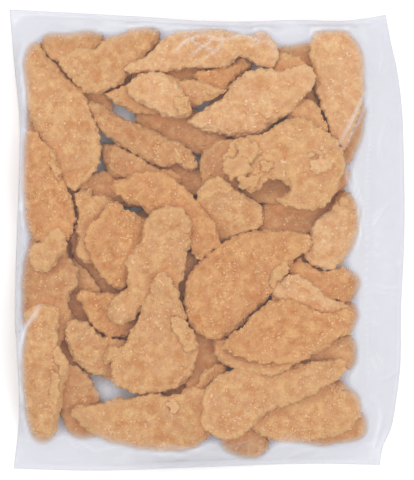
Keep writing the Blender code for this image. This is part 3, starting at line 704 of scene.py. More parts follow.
        # Painted highlight: the crests of the relief lighten; on the loose crumbs this is each crumb's own
        # paleness.
        crest_highlight_and_paleness = add(tree, "ShaderNodeMapRange", {"Value": raised, "From Min": 0.52, "From Max": 0.8,
                                               "To Min": 0.0, "To Max": 0.8})
        with_crest_highlight_and_paleness = add(tree, "ShaderNodeMix", {0: crest_highlight_and_paleness.outputs["Result"], 6: hollow_shaded.outputs[2],
                                             7: linear(self.light)}, data_type="RGBA")
        flaked = add(tree, "ShaderNodeMix", {0: spots.outputs["Value"], 6: with_crest_highlight_and_paleness.outputs[2],
                                             7: linear(self.crumb)}, data_type="RGBA")
        specked = self._specks(tree, place, grit, crowding, flaked.outputs[2])
        rim = add(tree, "ShaderNodeAttribute", attribute_name="rim").outputs["Fac"]
        edge = add(tree, "ShaderNodeMapRange", {"Value": rim, "From Min": 0.1, "To Min": 0.0,
                                                "To Max": 0.85})
        edged = add(tree, "ShaderNodeMix", {0: edge.outputs["Result"], 6: specked,
                                            7: linear(self.light)}, data_type="RGBA")
        # Painted shade: crust that lies below its neighbours darkens.
        sheltered = add(tree, "ShaderNodeAttribute", attribute_name="sheltered").outputs["Fac"]
        painted_shade = add(tree, "ShaderNodeMath", {0: sheltered, 1: self.painted_shade_share}, operation="MULTIPLY")
        mixed = add(tree, "ShaderNodeMix", {0: painted_shade.outputs["Value"], 6: edged.outputs[2],
                                            7: linear(self.painted_shade)}, data_type="RGBA")
        return mixed.outputs[2]

    def _specks(self, tree: bpy.types.NodeTree, place: bpy.types.NodeSocket, grit: bpy.types.Node,
                crowding: bpy.types.Node, under: bpy.types.NodeSocket) -> bpy.types.NodeSocket:
        """Scatter small pale crumbs, one in about three cells, a little ragged.

        Args:
            tree: The material's node tree.
            place: Object coordinates.
            grit: The fine grain that makes them ragged.
            crowding: How thickly they lie at each place.
            under: The colour that they lie on.

        Returns:
            The socket that carries the colour with its specks.
        """
        shift = add(tree, "ShaderNodeVectorMath",
                    {0: grit.outputs["Color"], "Scale": 0.4 * self.speck_mm * MM}, operation="SCALE")
        ragged = add(tree, "ShaderNodeVectorMath", {0: place, 1: shift.outputs["Vector"]}, operation="ADD")
        cells = add(tree, "ShaderNodeTexVoronoi", {"Vector": ragged.outputs["Vector"],
                                                   "Scale": 1000 / self.speck_mm})
        own = add(tree, "ShaderNodeSeparateColor", {"Color": cells.outputs["Color"]})
        size = add(tree, "ShaderNodeMapRange", {"Value": own.outputs["Green"], "From Min": 0.6,
                                                "From Max": 1.0, "To Min": 0.0, "To Max": 0.42})
        inside = add(tree, "ShaderNodeMath", {0: size.outputs["Result"], 1: cells.outputs["Distance"]},
                     operation="SUBTRACT")
        speck = add(tree, "ShaderNodeMapRange", {"Value": inside.outputs["Value"], "From Min": 0.0,
                                                 "From Max": 0.14, "To Min": 0.0, "To Max": 0.8})
        shown = add(tree, "ShaderNodeMath", {0: speck.outputs["Result"], 1: crowding.outputs["Result"]},
                    operation="MULTIPLY")
        mixed = add(tree, "ShaderNodeMix", {0: shown.outputs["Value"], 6: under, 7: linear(self.crumb)},
                    data_type="RGBA")
        return mixed.outputs[2]


@dataclass(frozen=True)
class ClearFilm:
    """Low-density polyethylene film, blown, cut and welded.

    Thin, soft and clear, with a slight blue-grey milkiness that gathers where the two
    sheets lie on each other, and long soft glints along its folds, partly from its gloss and
    partly painted as whiteness that also stands for the film's own whitening in a crease.
    Where it hangs steep, its milky colour is painted lighter to make up for the shade there.
    """

    name: str = "polyethylene_film"
    tint: str = "#fbfbfd"
    loose_tint: str = "#ecedf4"
    haze: str = "#cfcfd5"
    # Painted light: steep film beside the tenders takes a lighter milky colour to make up for the shade it
    # lies in.
    steep_haze_painted_light: str = "#d4d4db"
    clear_share: float = 0.05
    loose_share: float = 0.95
    weld_share: float = 0.05
    # How much the folds whiten the film: partly creased film, partly a painted glint.
    fold_whitening_and_glint_share: float = 0.55
    evenness: float = 2.0
    held_back: float = 0.3
    gloss: float = 1.0
    roughness: float = 0.18
    ior: float = 1.51
    cloud_mm: float = 24.0
    ripple_mm: float = 9.0

    def material(self) -> bpy.types.Material:
        """Build the film: see-through, hazy where it is doubled, glossy on its folds.

        Returns:
            The new material.
        """
        material = bpy.data.materials.new(self.name)
        material.use_nodes = True
        tree = material.node_tree
        place = add(tree, "ShaderNodeTexCoord").outputs["Object"]
        loose = add(tree, "ShaderNodeAttribute", attribute_name="loose").outputs["Fac"]
        fold = add(tree, "ShaderNodeAttribute", attribute_name="fold").outputs["Fac"]
        weld = add(tree, "ShaderNodeAttribute", attribute_name="weld").outputs["Fac"]
        cloud = add(tree, "ShaderNodeTexNoise", {"Vector": place, "Scale": 1000 / self.cloud_mm,
                                                 "Detail": 3.0})
        uneven = add(tree, "ShaderNodeMapRange", {"Value": cloud.outputs["Fac"], "From Min": 0.3,
                                                  "From Max": 0.7, "To Min": 0.95, "To Max": 1.05})
        milk = add(tree, "ShaderNodeMapRange", {"Value": loose, "To Min": self.clear_share,
                                                "To Max": self.loose_share})
        spread = add(tree, "ShaderNodeMath", {0: milk.outputs["Result"], 1: uneven.outputs["Result"]},
                     operation="MULTIPLY")
        welded = add(tree, "ShaderNodeMath", {0: weld, 1: self.weld_share, 2: spread.outputs["Value"]},
                     operation="MULTIPLY_ADD")
        # Painted glint: the folds whiten the film, partly as a crease whitens film and partly standing in
        # for the light they catch.
        share = add(tree, "ShaderNodeMath", {0: fold, 1: self.fold_whitening_and_glint_share, 2: welded.outputs["Value"]},
                    operation="MULTIPLY_ADD", use_clamp=True)
        glint = add(tree, "ShaderNodeFresnel", {"IOR": self.ior})
        total = add(tree, "ShaderNodeMath", {0: share.outputs["Value"], 1: glint.outputs["Fac"]},
                    operation="MAXIMUM")
        ripple = add(tree, "ShaderNodeTexNoise", {"Vector": place, "Scale": 1000 / self.ripple_mm,
                                                  "Detail": 2.0})
        relief = add(tree, "ShaderNodeBump",
                     {"Height": ripple.outputs["Fac"], "Strength": 0.35, "Distance": 0.8 * MM})
        shader = tree.nodes["Principled BSDF"]
        # Painted light: where the loose film is steep, its milky colour is lighter to make up for the shade
        # there.
        steep = add(tree, "ShaderNodeMapRange", {"Value": loose, "From Min": FLAT_MILKINESS})
        scattered = add(tree, "ShaderNodeMix", {0: steep.outputs["Result"], 6: linear(self.haze),
                                                7: linear(self.steep_haze_painted_light)}, data_type="RGBA")
        tree.links.new(scattered.outputs[2], shader.inputs["Base Color"])
        shader.inputs["Roughness"].default_value = 1.0
        toward = add(tree, "ShaderNodeNewGeometry").outputs["Incoming"]
        leaning = add(tree, "ShaderNodeVectorMath",
                      {0: toward, 1: (self.evenness,) * 3, 2: relief.outputs["Normal"]},
                      operation="MULTIPLY_ADD")
        even = add(tree, "ShaderNodeVectorMath", {0: leaning.outputs["Vector"]}, operation="NORMALIZE")
        tree.links.new(even.outputs["Vector"], shader.inputs["Normal"])
        shader.inputs["Specular IOR Level"].default_value = 0.0
        shader.inputs["Coat Weight"].default_value = self.gloss
        shader.inputs["Coat Roughness"].default_value = self.roughness
        shader.inputs["Coat IOR"].default_value = self.ior
        tree.links.new(relief.outputs["Normal"], shader.inputs["Coat Normal"])
        tree.links.new(relief.outputs["Normal"], glint.inputs["Normal"])
        passed = add(tree, "ShaderNodeMix", {0: loose, 6: linear(self.tint), 7: linear(self.loose_tint)},
                     data_type="RGBA")
        through = add(tree, "ShaderNodeBsdfTransparent", {"Color": passed.outputs[2]})
        path = add(tree, "ShaderNodeLightPath")
        lighting = add(tree, "ShaderNodeMath",
                       {0: path.outputs["Is Shadow Ray"], 1: path.outputs["Is Diffuse Ray"]},
                       operation="MAXIMUM")
        held_back = add(tree, "ShaderNodeMapRange", {"Value": lighting.outputs["Value"], "To Min": 1.0,
                                                     "To Max": self.held_back})
        cover = add(tree, "ShaderNodeMath", {0: total.outputs["Value"], 1: held_back.outputs["Result"]},
                    operation="MULTIPLY")
        film = add(tree, "ShaderNodeMixShader", {0: cover.outputs["Value"], 1: through.outputs["BSDF"],
                                                 2: shader.outputs["BSDF"]})
        tree.links.new(film.outputs["Shader"], tree.nodes["Material Output"].inputs["Surface"])
        return material


CRUSTS = {
    GOLDEN: Breading("breadcrumb_crust_golden", "#ce9b64", "#c5864d", "#dbad73", "#e7c69e", "#cc9667"),
    # The toasted crust is partly a real deeper tone and partly painted shade for the tenders deep in the
    # heap.
    TOASTED_AND_SHADED: Breading("breadcrumb_crust_toasted_and_shaded", "#c58d58", "#b77944", "#d0a16b", "#deb786", "#bf875b"),
    AMBER: Breading("breadcrumb_crust_amber", "#cb9258", "#c07c41", "#d9a468", "#e5ba86", "#c78a5a"),
    PALE: Breading("breadcrumb_crust_pale", "#d7a570", "#cd925a", "#e1b782", "#eacca6", "#d5a072"),
    ROSY: Breading("breadcrumb_crust_rosy", "#d29c6a", "#c78954", "#dcaf7b", "#e7c69e", "#cd956a"),
}
CRUMB_CRUST = Breading("breadcrumb_crumbs", "#e6b077", "#d8a066", "#f0be84", "#f4c88f", "#e4ac74")


def select_only(piece: bpy.types.Object) -> None:
    """Make a piece the only selected object, and the active one."""
    bpy.ops.object.select_all(action="DESELECT")
    piece.select_set(True)
    bpy.context.view_layer.objects.active = piece


def read_points(piece: bpy.types.Object) -> np.ndarray:
    """Read a mesh piece's vertices as rows of x, y, z."""
    flat = np.empty(len(piece.data.vertices) * 3)
    piece.data.vertices.foreach_get("co", flat)
    return flat.reshape(-1, 3)


def write_points(piece: bpy.types.Object, points: np.ndarray) -> None:
    """Move a mesh piece's vertices to rows of x, y, z."""
    piece.data.vertices.foreach_set("co", points.reshape(-1))
    piece.data.update()


def write_mark(mesh: bpy.types.Mesh, name: str, values: np.ndarray) -> None:
    """Keep a number for each vertex, for the materials to read by name."""
    layer = mesh.attributes.new(name, "FLOAT", "POINT")
    layer.data.foreach_set("value", values)


def mean_beside(values: np.ndarray) -> np.ndarray:
    """Average the four cells beside each cell of a grid."""
    return (np.roll(values, 1, 0) + np.roll(values, -1, 0)
            + np.roll(values, 1, 1) + np.roll(values, -1, 1)) / 4


def blurred(values: np.ndarray, rounds: int) -> np.ndarray:
    """Average each cell of a grid with the ones beside it, again and again."""
    for _ in range(rounds):
        values = (values + mean_beside(values)) / 2
    return values


class Rest(NamedTuple):
    """How a tender came to rest: a tilted and slightly bowed middle surface, in mm."""

    centre: tuple[float, float]
    axis: tuple[float, float]
    half_length: float
    deepest: float
    terms: np.ndarray

    def shapes(self, x: np.ndarray, y: np.ndarray) -> np.ndarray:
        """The simple surfaces that its middle surface adds up, over each point."""
        along = ((x - self.centre[0]) * self.axis[0]
                 + (y - self.centre[1]) * self.axis[1]) / self.half_length
        across = ((y - self.centre[1]) * self.axis[0]
                  - (x - self.centre[0]) * self.axis[1]) / self.half_length
        return np.stack((np.ones_like(along), along, across, along ** 2, along * across, across ** 2,
                         along ** 3, along ** 4), axis=-1)

    def height(self, x: np.ndarray, y: np.ndarray) -> np.ndarray:
        """Height of the tender's middle surface over each point."""
        return self.shapes(x, y) @ self.terms


def closed_curve(points: tuple[tuple[float, float], ...], steps: int) -> np.ndarray:
    """Draw a smooth closed curve through an outline's points.

    Args:
        points: The outline.
        steps: Points of the curve for each point of the outline.

    Returns:
        Rows of x and y.
    """
    knots = np.array(points, dtype=float)
    before = np.roll(knots, 1, axis=0)
    after = np.roll(knots, -1, axis=0)
    beyond = np.roll(knots, -2, axis=0)
    rows = []
    for t in np.arange(steps) / steps:
        bend = 2 * before - 5 * knots + 4 * after - beyond
        twist = 3 * knots - before - 3 * after + beyond
        rows.append(0.5 * (2 * knots + (after - before) * t + bend * t * t + twist * t ** 3))
    return np.stack(rows, axis=1).reshape(-1, 2)


def depth_inside(outline: np.ndarray, x: np.ndarray, y: np.ndarray) -> np.ndarray:
    """How far each point lies inside an outline, 0 outside it.

    Args:
        outline: Rows of x and y along the closed outline.
        x: Points across the bag.
        y: Points along the bag.

    Returns:
        Depths in millimetres, shaped as x.
    """
    nearest = np.full(x.shape, 1e6)
    inside = np.zeros(x.shape, dtype=bool)
    for start, end in zip(outline, np.roll(outline, -1, axis=0)):
        along = end - start
        share = ((x - start[0]) * along[0] + (y - start[1]) * along[1]) / max(along @ along, 1e-9)
        share = np.clip(share, 0, 1)
        gap = np.hypot(x - start[0] - share * along[0], y - start[1] - share * along[1])
        nearest = np.minimum(nearest, gap)
        if start[1] != end[1]:
            crossing = (start[1] > y) != (end[1] > y)
            inside ^= crossing & (x < start[0] + (y - start[1]) / along[1] * along[0])
    return np.where(inside, nearest, 0.0)


def half_height(depth: np.ndarray, thickness: float, deepest: float) -> np.ndarray:
    """Half the height of a tender over points at a given depth inside its outline."""
    share = np.clip(depth / (DOME * deepest), 0, 1)
    return thickness / 2 * (BLUNT + (1 - BLUNT) * np.sqrt(1 - (1 - share) ** 2))


@dataclass
class Heap:
    """The tenders' layout, settled piece by piece on a grid of heights, in mm.

    A tender comes to rest where it touches the heap and spans the gaps in it: in each
    round the places that it stands clear of weigh less, and the stiffness of each term
    of its middle surface keeps it from bending into them.
    """

    step: float = 3.0
    bed: float = 0.8
    reach_x: float = 162.0
    reach_y: float = 189.0
    rounds: int = 40
    gap_weight: float = 0.01
    crag_sink: float = 0.9
    curve_steps: int = 4
    stiffness: tuple[float, ...] = (0.0, 0.0008, 0.0032, 0.0024, 0.0032, 0.004, 0.0032, 0.0032)
    rests: dict[str, Rest] = field(default_factory=dict)

    def settle(self, tender: Tender, x: np.ndarray, y: np.ndarray, heap: np.ndarray) -> np.ndarray:
        """Rest a tender on the heap, and keep how it lies.

        Args:
            tender: The tender.
            x: Grid of points across the bag.
            y: Grid of points along the bag.
            heap: The heap's height so far at each point.

        Returns:
            The tender's top surface on the grid, 0 outside it.
        """
        outline = closed_curve(tender.outline, self.curve_steps)
        depth = depth_inside(outline, x, y)
        inside = depth > 0
        deepest = depth.max()
        half = half_height(depth[inside], tender.thickness, deepest)
        middle = outline.mean(axis=0)
        spread_out = outline - middle
        axis = np.linalg.eigh(spread_out.T @ spread_out).eigenvectors[:, 1]
        reach = np.abs(spread_out @ axis).max()
        rest = Rest((middle[0], middle[1]), (axis[0], axis[1]), reach, deepest,
                    np.zeros(len(self.stiffness)))
        terms = rest.shapes(x[inside], y[inside])
        needed = heap[inside] + half
        stiffness = np.diag(self.stiffness) * len(needed)
        weight = np.ones_like(needed)
        for _ in range(self.rounds):
            left = terms.T @ (weight[:, None] * terms) + stiffness
            solution = np.linalg.solve(left, terms.T @ (weight * needed))
            weight = np.where(needed > terms @ solution, 1.0, self.gap_weight)
        if tender.name.startswith("crag_"):
            solution[0] -= self.crag_sink
        self.rests[tender.name] = rest._replace(terms=solution)
        top = np.zeros_like(heap)
        top[inside] = terms @ solution + half
        return top

    def build(self) -> None:
        """Settle every tender, bottom first."""
        line_x = np.arange(-self.reach_x, self.reach_x + 0.1, self.step)
        line_y = np.arange(-self.reach_y, self.reach_y + 0.1, self.step)
        x, y = np.meshgrid(line_x, line_y)
        heap = np.full_like(x, self.bed)
        for tender in TENDERS:
            heap = np.maximum(heap, self.settle(tender, x, y, heap))
        LOG.info("settled %d tenders to a height of %.1f mm", len(TENDERS), heap.max())


class HeightField:
    """Heights on a regular grid over the whole bag, in millimetres, 0 where nothing is."""

    def __init__(self, cell: float) -> None:
        """Make an empty grid of the given cell."""
        self.cell = cell
        self.origin = np.array(FIELD_CORNER)
        self.values = np.zeros((int(FIELD_SIZE[1] / cell), int(FIELD_SIZE[0] / cell)))

    def cells(self, places: np.ndarray) -> tuple[np.ndarray, np.ndarray]:
        """Rows and columns of the cells that hold the places."""
        column, row = ((places - self.origin) / self.cell).astype(int).T
        return row, column

    def put(self, places: np.ndarray, heights: np.ndarray) -> None:
        """Keep the highest point that falls in each cell."""
        np.maximum.at(self.values, self.cells(places), heights)

    def grow(self, rounds: int) -> None:
        """Let every height reach the cells beside it, where it is the greater."""
        for _ in range(rounds):
            for axis in (0, 1):
                beside = np.maximum(np.roll(self.values, 1, axis), np.roll(self.values, -1, axis))
                self.values = np.maximum(self.values, beside)

    def soften(self, rounds: int) -> None:
        """Average every height with the cells beside it."""
        for _ in range(rounds):
            for axis in (0, 1):
                beside = np.roll(self.values, 1, axis) + np.roll(self.values, -1, axis)
                self.values = (self.values * 2 + beside) / 4

    def read(self, places: np.ndarray) -> np.ndarray:
        """The height at each place."""
        return self.values[self.cells(places)]


class Bed(NamedTuple):
    """What the tenders lie on: the lower sheet of film and the space above it, in mm."""

    heights: HeightField
    space: float

    def under(self, points: np.ndarray) -> np.ndarray:
        """The lowest that a tender may reach at each point."""
        return self.heights.read(points[:, :2]) + self.space


@dataclass
class Tenders:
    """The breaded tenders, one mesh piece each, at their true size."""

    heap: Heap
    bed: Bed
    curve_steps: int = 5
    voxel: float = 1.05
    lower_voxel: float = 1.5
    hidden_voxel: float = 2.4
    slab: float = 6.0
    lump_mm: float = 15.0
    lump_height: float = 2.0
    crag_mm: float = 4.6
    crag_height: float = 4.6
    puff_mm: float = 4.2
    puff_height: float = 1.6
    # Painted shade: how deep below the crust beside it a point darkens fully, the grid that finds this, how
    # far it reaches and where the darkening starts.
    painted_shade_mm: float = 14.0
    painted_shade_cell: float = 1.4
    painted_shade_reach: int = 3
    painted_shade_start: float = 0.25
    crumb_mm: float = 2.0
    crumb_height: float = 0.5
    rim_mm: float = 7.0
    crag_levels: int = 6
    inner_crags: float = 0.25
    pieces: list[bpy.types.Object] = field(default_factory=list)

    def fineness(self, tender: Tender) -> float:
        """The mesh's cell for a tender, coarser for the ones deep in the heap."""
        if tender.name.startswith("fill_"):
            return self.hidden_voxel
        return self.lower_voxel if tender.name.startswith("b_") else self.voxel

    def blank(self, tender: Tender) -> bpy.types.Object:
        """Cut a flat slab to the tender's outline and mesh it evenly.

        Args:
            tender: The tender.

        Returns:
            The slab's object, its underside at z = 0.
        """
        curve = closed_curve(tender.outline, self.curve_steps)
        bpy.ops.object.select_all(action="DESELECT")
        bpy.ops.mesh.primitive_circle_add(vertices=len(curve), radius=1.0, fill_type="NGON")
        piece = bpy.context.active_object
        flat = np.column_stack((curve, np.zeros(len(curve)))) * MM
        write_points(piece, flat)
        bpy.ops.object.mode_set(mode="EDIT")
        bpy.ops.mesh.select_all(action="SELECT")
        bpy.ops.mesh.extrude_region_move(TRANSFORM_OT_translate={"value": (0, 0, self.slab * MM)})
        bpy.ops.mesh.select_all(action="SELECT")
        bpy.ops.mesh.normals_make_consistent(inside=False)
        bpy.ops.object.mode_set(mode="OBJECT")
        skin = piece.modifiers.new("skin", "REMESH")
        skin.mode = "VOXEL"
        skin.voxel_size = self.fineness(tender) * MM
        bpy.ops.object.modifier_apply(modifier=skin.name)
        return piece

    def swell(self, piece: bpy.types.Object, tender: Tender) -> np.ndarray:
        """Swell the slab into a domed tender that lies as it came to rest.

        Args:
            piece: The slab.
            tender: The tender that it becomes.

        Returns:
            How near each vertex is to the outline, 1 on it and 0 well inside.
        """
        rest = self.heap.rests[tender.name]
        points = read_points(piece) / MM
        depth = depth_inside(closed_curve(tender.outline, self.curve_steps), points[:, 0], points[:, 1])
        layer = np.clip(points[:, 2] / self.slab * 2 - 1, -1, 1)
        half = half_height(depth, tender.thickness, rest.deepest)
        points[:, 2] = rest.height(points[:, 0], points[:, 1]) + layer * half
        write_points(piece, points * MM)
        return 1 - np.clip(depth / self.rim_mm, 0, 1)

    def mark(self, piece: bpy.types.Object, rim: np.ndarray) -> None:
        """Keep the nearness to the outline, for the crags and for the crust's colour.

        Args:
            piece: The tender.
            rim: Nearness for each vertex.
        """
        write_mark(piece.data, "rim", rim)
        group = piece.vertex_groups.new(name="craggy")
        highest = self.crag_levels - 1
        levels = (rim * self.crag_levels).astype(int).clip(0, highest)
        for level in range(self.crag_levels):
            chosen = np.nonzero(levels == level)[0]
            share = self.inner_crags + (1 - self.inner_crags) * level / highest
            group.add(chosen.tolist(), share, "REPLACE")

    def raise_surface(self, piece: bpy.types.Object, texture: bpy.types.Texture, height: float) -> None:
        """Push the surface in and out by a texture in the piece's own space.

        Args:
            piece: The tender.
            texture: What the surface is pushed by.
            height: From the lowest to the highest point, in millimetres.
        """
        push = piece.modifiers.new("relief", "DISPLACE")
        push.texture = texture
        push.texture_coords = "LOCAL"
        push.strength = height * MM
        push.mid_level = 0.5
        if texture.name.startswith(("crags", "puffs")):
            push.vertex_group = "craggy"
        bpy.ops.object.modifier_apply(modifier=push.name)

    def textures(self) -> list[tuple[bpy.types.Texture, float]]:
        """Make the textures of the lumps, the crags and the crumbs, with their heights."""
        lumps = bpy.data.textures.new("lumps", "CLOUDS")
        lumps.noise_scale = self.lump_mm * MM
        lumps.noise_depth = 1
        crags = bpy.data.textures.new("crags", "CLOUDS")
        crags.noise_scale = self.crag_mm * MM
        crags.noise_depth = 2
        puffs = bpy.data.textures.new("puffs", "VORONOI")
        puffs.noise_scale = self.puff_mm * MM
        crumbs = bpy.data.textures.new("crumbs", "VORONOI")
        crumbs.noise_scale = self.crumb_mm * MM
        return [(lumps, self.lump_height), (crags, self.crag_height), (puffs, -self.puff_height),
                (crumbs, -self.crumb_height)]

    def tender(self, tender: Tender, textures: list[tuple[bpy.types.Texture, float]]) -> bpy.types.Object:
        """Model one tender, lumpy, craggy at its edges and crumbed all over.

        Args:
            tender: The tender.
            textures: The surface's textures and their heights.

        Returns:
            The finished piece.
        """
        piece = self.blank(tender)
        piece.name = "tender_" + tender.name
        piece.data.name = piece.name
        self.mark(piece, self.swell(piece, tender))
        soften = piece.modifiers.new("soften", "SMOOTH")
        soften.factor = 0.5
        soften.iterations = 3
        bpy.ops.object.modifier_apply(modifier=soften.name)
        self.raise_surface(piece, *textures[0])
        smooth = read_points(piece)
        normals = np.empty(smooth.size)
        piece.data.vertices.foreach_get("normal", normals)
        for texture, height in textures[1:]:
            self.raise_surface(piece, texture, height)
        points = read_points(piece)
        # The relief's height, kept for the painted shade of its hollows and the painted highlight of its
        # crests.
        raised = ((points - smooth) * normals.reshape(-1, 3)).sum(axis=1) / MM
        write_mark(piece.data, "raised", np.clip(0.5 + (raised - raised.mean()) / self.crag_height, 0, 1))
        points[:, 2] = np.maximum(points[:, 2], self.bed.under(points / MM) * MM)
        write_points(piece, points)
        piece.vertex_groups.clear()
        bpy.ops.object.shade_smooth()
        return piece

    def paint_shade(self) -> None:
        """Mark how far each point lies below what is beside it, for the painted shade in the crust's colour.
        """
        top = HeightField(self.painted_shade_cell)
        for piece in self.pieces:
            points = read_points(piece) / MM
            top.put(points[:, :2], points[:, 2])
        top.grow(self.painted_shade_reach)
        top.soften(self.painted_shade_reach)
        for piece in self.pieces:
            points = read_points(piece) / MM
            below = (top.read(points[:, :2]) - points[:, 2]) / self.painted_shade_mm
            write_mark(piece.data, "sheltered", np.clip(below - self.painted_shade_start, 0, 1))

    def build(self, crusts: dict[Crust, bpy.types.Material]) -> None:
        """Model every tender and dress it in its crust.

        Args:
            crusts: The material for each kind of crust.
        """
        textures = self.textures()
        for tender in TENDERS:
            piece = self.tender(tender, textures)
            piece.data.materials.append(crusts[tender.crust])
            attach(piece, "root")
            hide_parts("bag")
            self.pieces.append(piece)
        self.paint_shade()
        faces = sum(len(piece.data.polygons) for piece in self.pieces)
        LOG.info("modelled %d tenders of %d faces in all", len(self.pieces), faces)


# Tenders whose loose crumbs lie thicker or thinner than on the others.
CRUMBLY = {"bottom_right": 3.2, "low_right": 2.4, "centre_right": 1.8, "bottom_mid": 1.6, "left_long": 1.7,
           "centre_left": 1.9, "left_mid": 1.5, "low_centre": 1.3, "m_left_low": 1.5, "bottom_long": 1.3,
           "right_upright": 0.5, "upper_mid": 0.4, "upper_right": 0.8, "right": 0.6}


@dataclass
class Crumbs:
    """Crumbs that stick out of the breading, joined into one mesh piece."""

    seed: int = 23
    per_square_mm: float = 0.045
    patch_mm: float = 7.0
    patch_corner: tuple[float, float] = (-170.0, -200.0)
    patch_count: tuple[int, int] = (52, 60)
    patch_most: float = 1.55
    patch_power: int = 3
    inner_share: float = 0.6
    small: float = 0.32
    large: float = 1.35
    flatness: float = 0.4
    lift: float = 0.3
    stretch: tuple[float, float] = (0.7, 1.4)
    raggedness: tuple[float, float] = (0.7, 1.25)
    paleness: tuple[float, float] = (0.48, 0.85)
    steepest: float = 0.3

    def spots(self, piece: bpy.types.Object, chance: np.random.Generator,
              patches: np.ndarray) -> tuple[np.ndarray, np.ndarray, np.ndarray]:
        """Choose where crumbs stick to a tender, in patches on its upper side.

        Args:
            piece: The tender.
            chance: The random numbers.
            patches: How thick the crumbs lie in each square of the bag.

        Returns:
            Places in millimetres, the surface's normals there and the painted shade of the crust there.
        """
        mesh = piece.data
        count = len(mesh.polygons)
        centres = np.empty(count * 3)
        normals = np.empty(count * 3)
        areas = np.empty(count)
        first = np.empty(count, dtype=int)
        mesh.polygons.foreach_get("center", centres)
        mesh.polygons.foreach_get("normal", normals)
        mesh.polygons.foreach_get("area", areas)
        mesh.polygons.foreach_get("loop_start", first)
        corner = np.empty(len(mesh.loops), dtype=int)
        mesh.loops.foreach_get("vertex_index", corner)
        marks = {}
        for name in ("sheltered", "rim"):
            values = np.empty(len(mesh.vertices))
            mesh.attributes[name].data.foreach_get("value", values)
            marks[name] = values[corner[first]]
        centres = centres.reshape(-1, 3) / MM
        normals = normals.reshape(-1, 3)
        cell = ((centres[:, :2] - self.patch_corner) / self.patch_mm).astype(int)
        thick = patches[cell[:, 0], cell[:, 1]] * (self.inner_share + marks["rim"])
        weight = areas / MM / MM * thick * (normals[:, 2] > self.steepest)
        share = CRUMBLY.get(piece.name.removeprefix("tender_"), 1.0)
        crumbs = int(weight.sum() * self.per_square_mm * share)
        chosen = chance.choice(count, crumbs, p=weight / weight.sum())
        return centres[chosen], normals[chosen], marks["sheltered"][chosen]

    def strewn(self, chip: np.ndarray, places: np.ndarray, normals: np.ndarray,
               chance: np.random.Generator) -> np.ndarray:
        """Lay a ragged copy of a chip flat on the surface at each place, turned by chance.

        Args:
            chip: Rows of x, y and z of a chip that reaches about 1 from the origin.
            places: The chips' places in millimetres.
            normals: The surface's normals there.
            chance: The random numbers.

        Returns:
            Places by vertices of x, y and z, in millimetres.
        """
        count = len(places)
        size = self.small + (self.large - self.small) * chance.random(count) ** 2
        spin = chance.normal(size=(count, 3))
        first = np.cross(normals, spin)
        first /= np.linalg.norm(first, axis=1)[:, None]
        second = np.cross(normals, first)
        stretch = chance.uniform(*self.stretch, count)
        ragged = chip * chance.uniform(*self.raggedness, (count, len(chip), 1))
        return (places[:, None] + ragged[..., :1] * (first * (size * stretch)[:, None])[:, None]
                + ragged[..., 1:2] * (second * (size / stretch)[:, None])[:, None]
                + (ragged[..., 2:] + self.lift) * (normals * (size * self.flatness)[:, None])[:, None])

    def build(self, pieces: list[bpy.types.Object], crust: bpy.types.Material) -> bpy.types.Object:
        """Stick the crumbs to the tenders that show.

        Args:
            pieces: The tenders.
            crust: The crumbs' material.

        Returns:
            The crumbs' object.
        """
        chance = np.random.default_rng(self.seed)
        patches = (chance.random(self.patch_count) * self.patch_most) ** self.patch_power
        seen = [piece for piece in pieces if not piece.name.startswith("tender_fill_")]
        found = [self.spots(piece, chance, patches) for piece in seen]
        places, normals, sheltered = (np.concatenate(part) for part in zip(*found))
        count = len(places)
        bpy.ops.object.select_all(action="DESELECT")
        bpy.ops.mesh.primitive_ico_sphere_add(subdivisions=1, radius=1.0)
        piece = bpy.context.active_object
        chip = read_points(piece)
        faces = np.empty(len(piece.data.polygons) * 3, dtype=int)
        piece.data.polygons.foreach_get("vertices", faces)
        points = self.strewn(chip, places, normals, chance)
        mesh = piece.data
        mesh.clear_geometry()
        mesh.vertices.add(count * len(chip))
        mesh.loops.add(count * len(faces))
        mesh.polygons.add(count * len(faces) // 3)
        mesh.vertices.foreach_set("co", (points * MM).reshape(-1))
        mesh.loops.foreach_set("vertex_index", (faces + np.arange(count)[:, None] * len(chip)).reshape(-1))
        mesh.polygons.foreach_set("loop_start", np.arange(0, count * len(faces), 3))
        mesh.update(calc_edges=True)
        mesh.validate()
        # Each loose crumb's own paleness, and the painted shade of the crust that it sits on.
        for name, values in (("raised", chance.uniform(*self.paleness, count)), ("sheltered", sheltered)):
            write_mark(mesh, name, np.repeat(values, len(chip)))
        piece.name = "loose_crumbs"
        mesh.name = piece.name
        mesh.materials.append(crust)
        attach(piece, "root")
        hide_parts("bag")
        LOG.info("stuck on %d crumbs", count)
        return piece


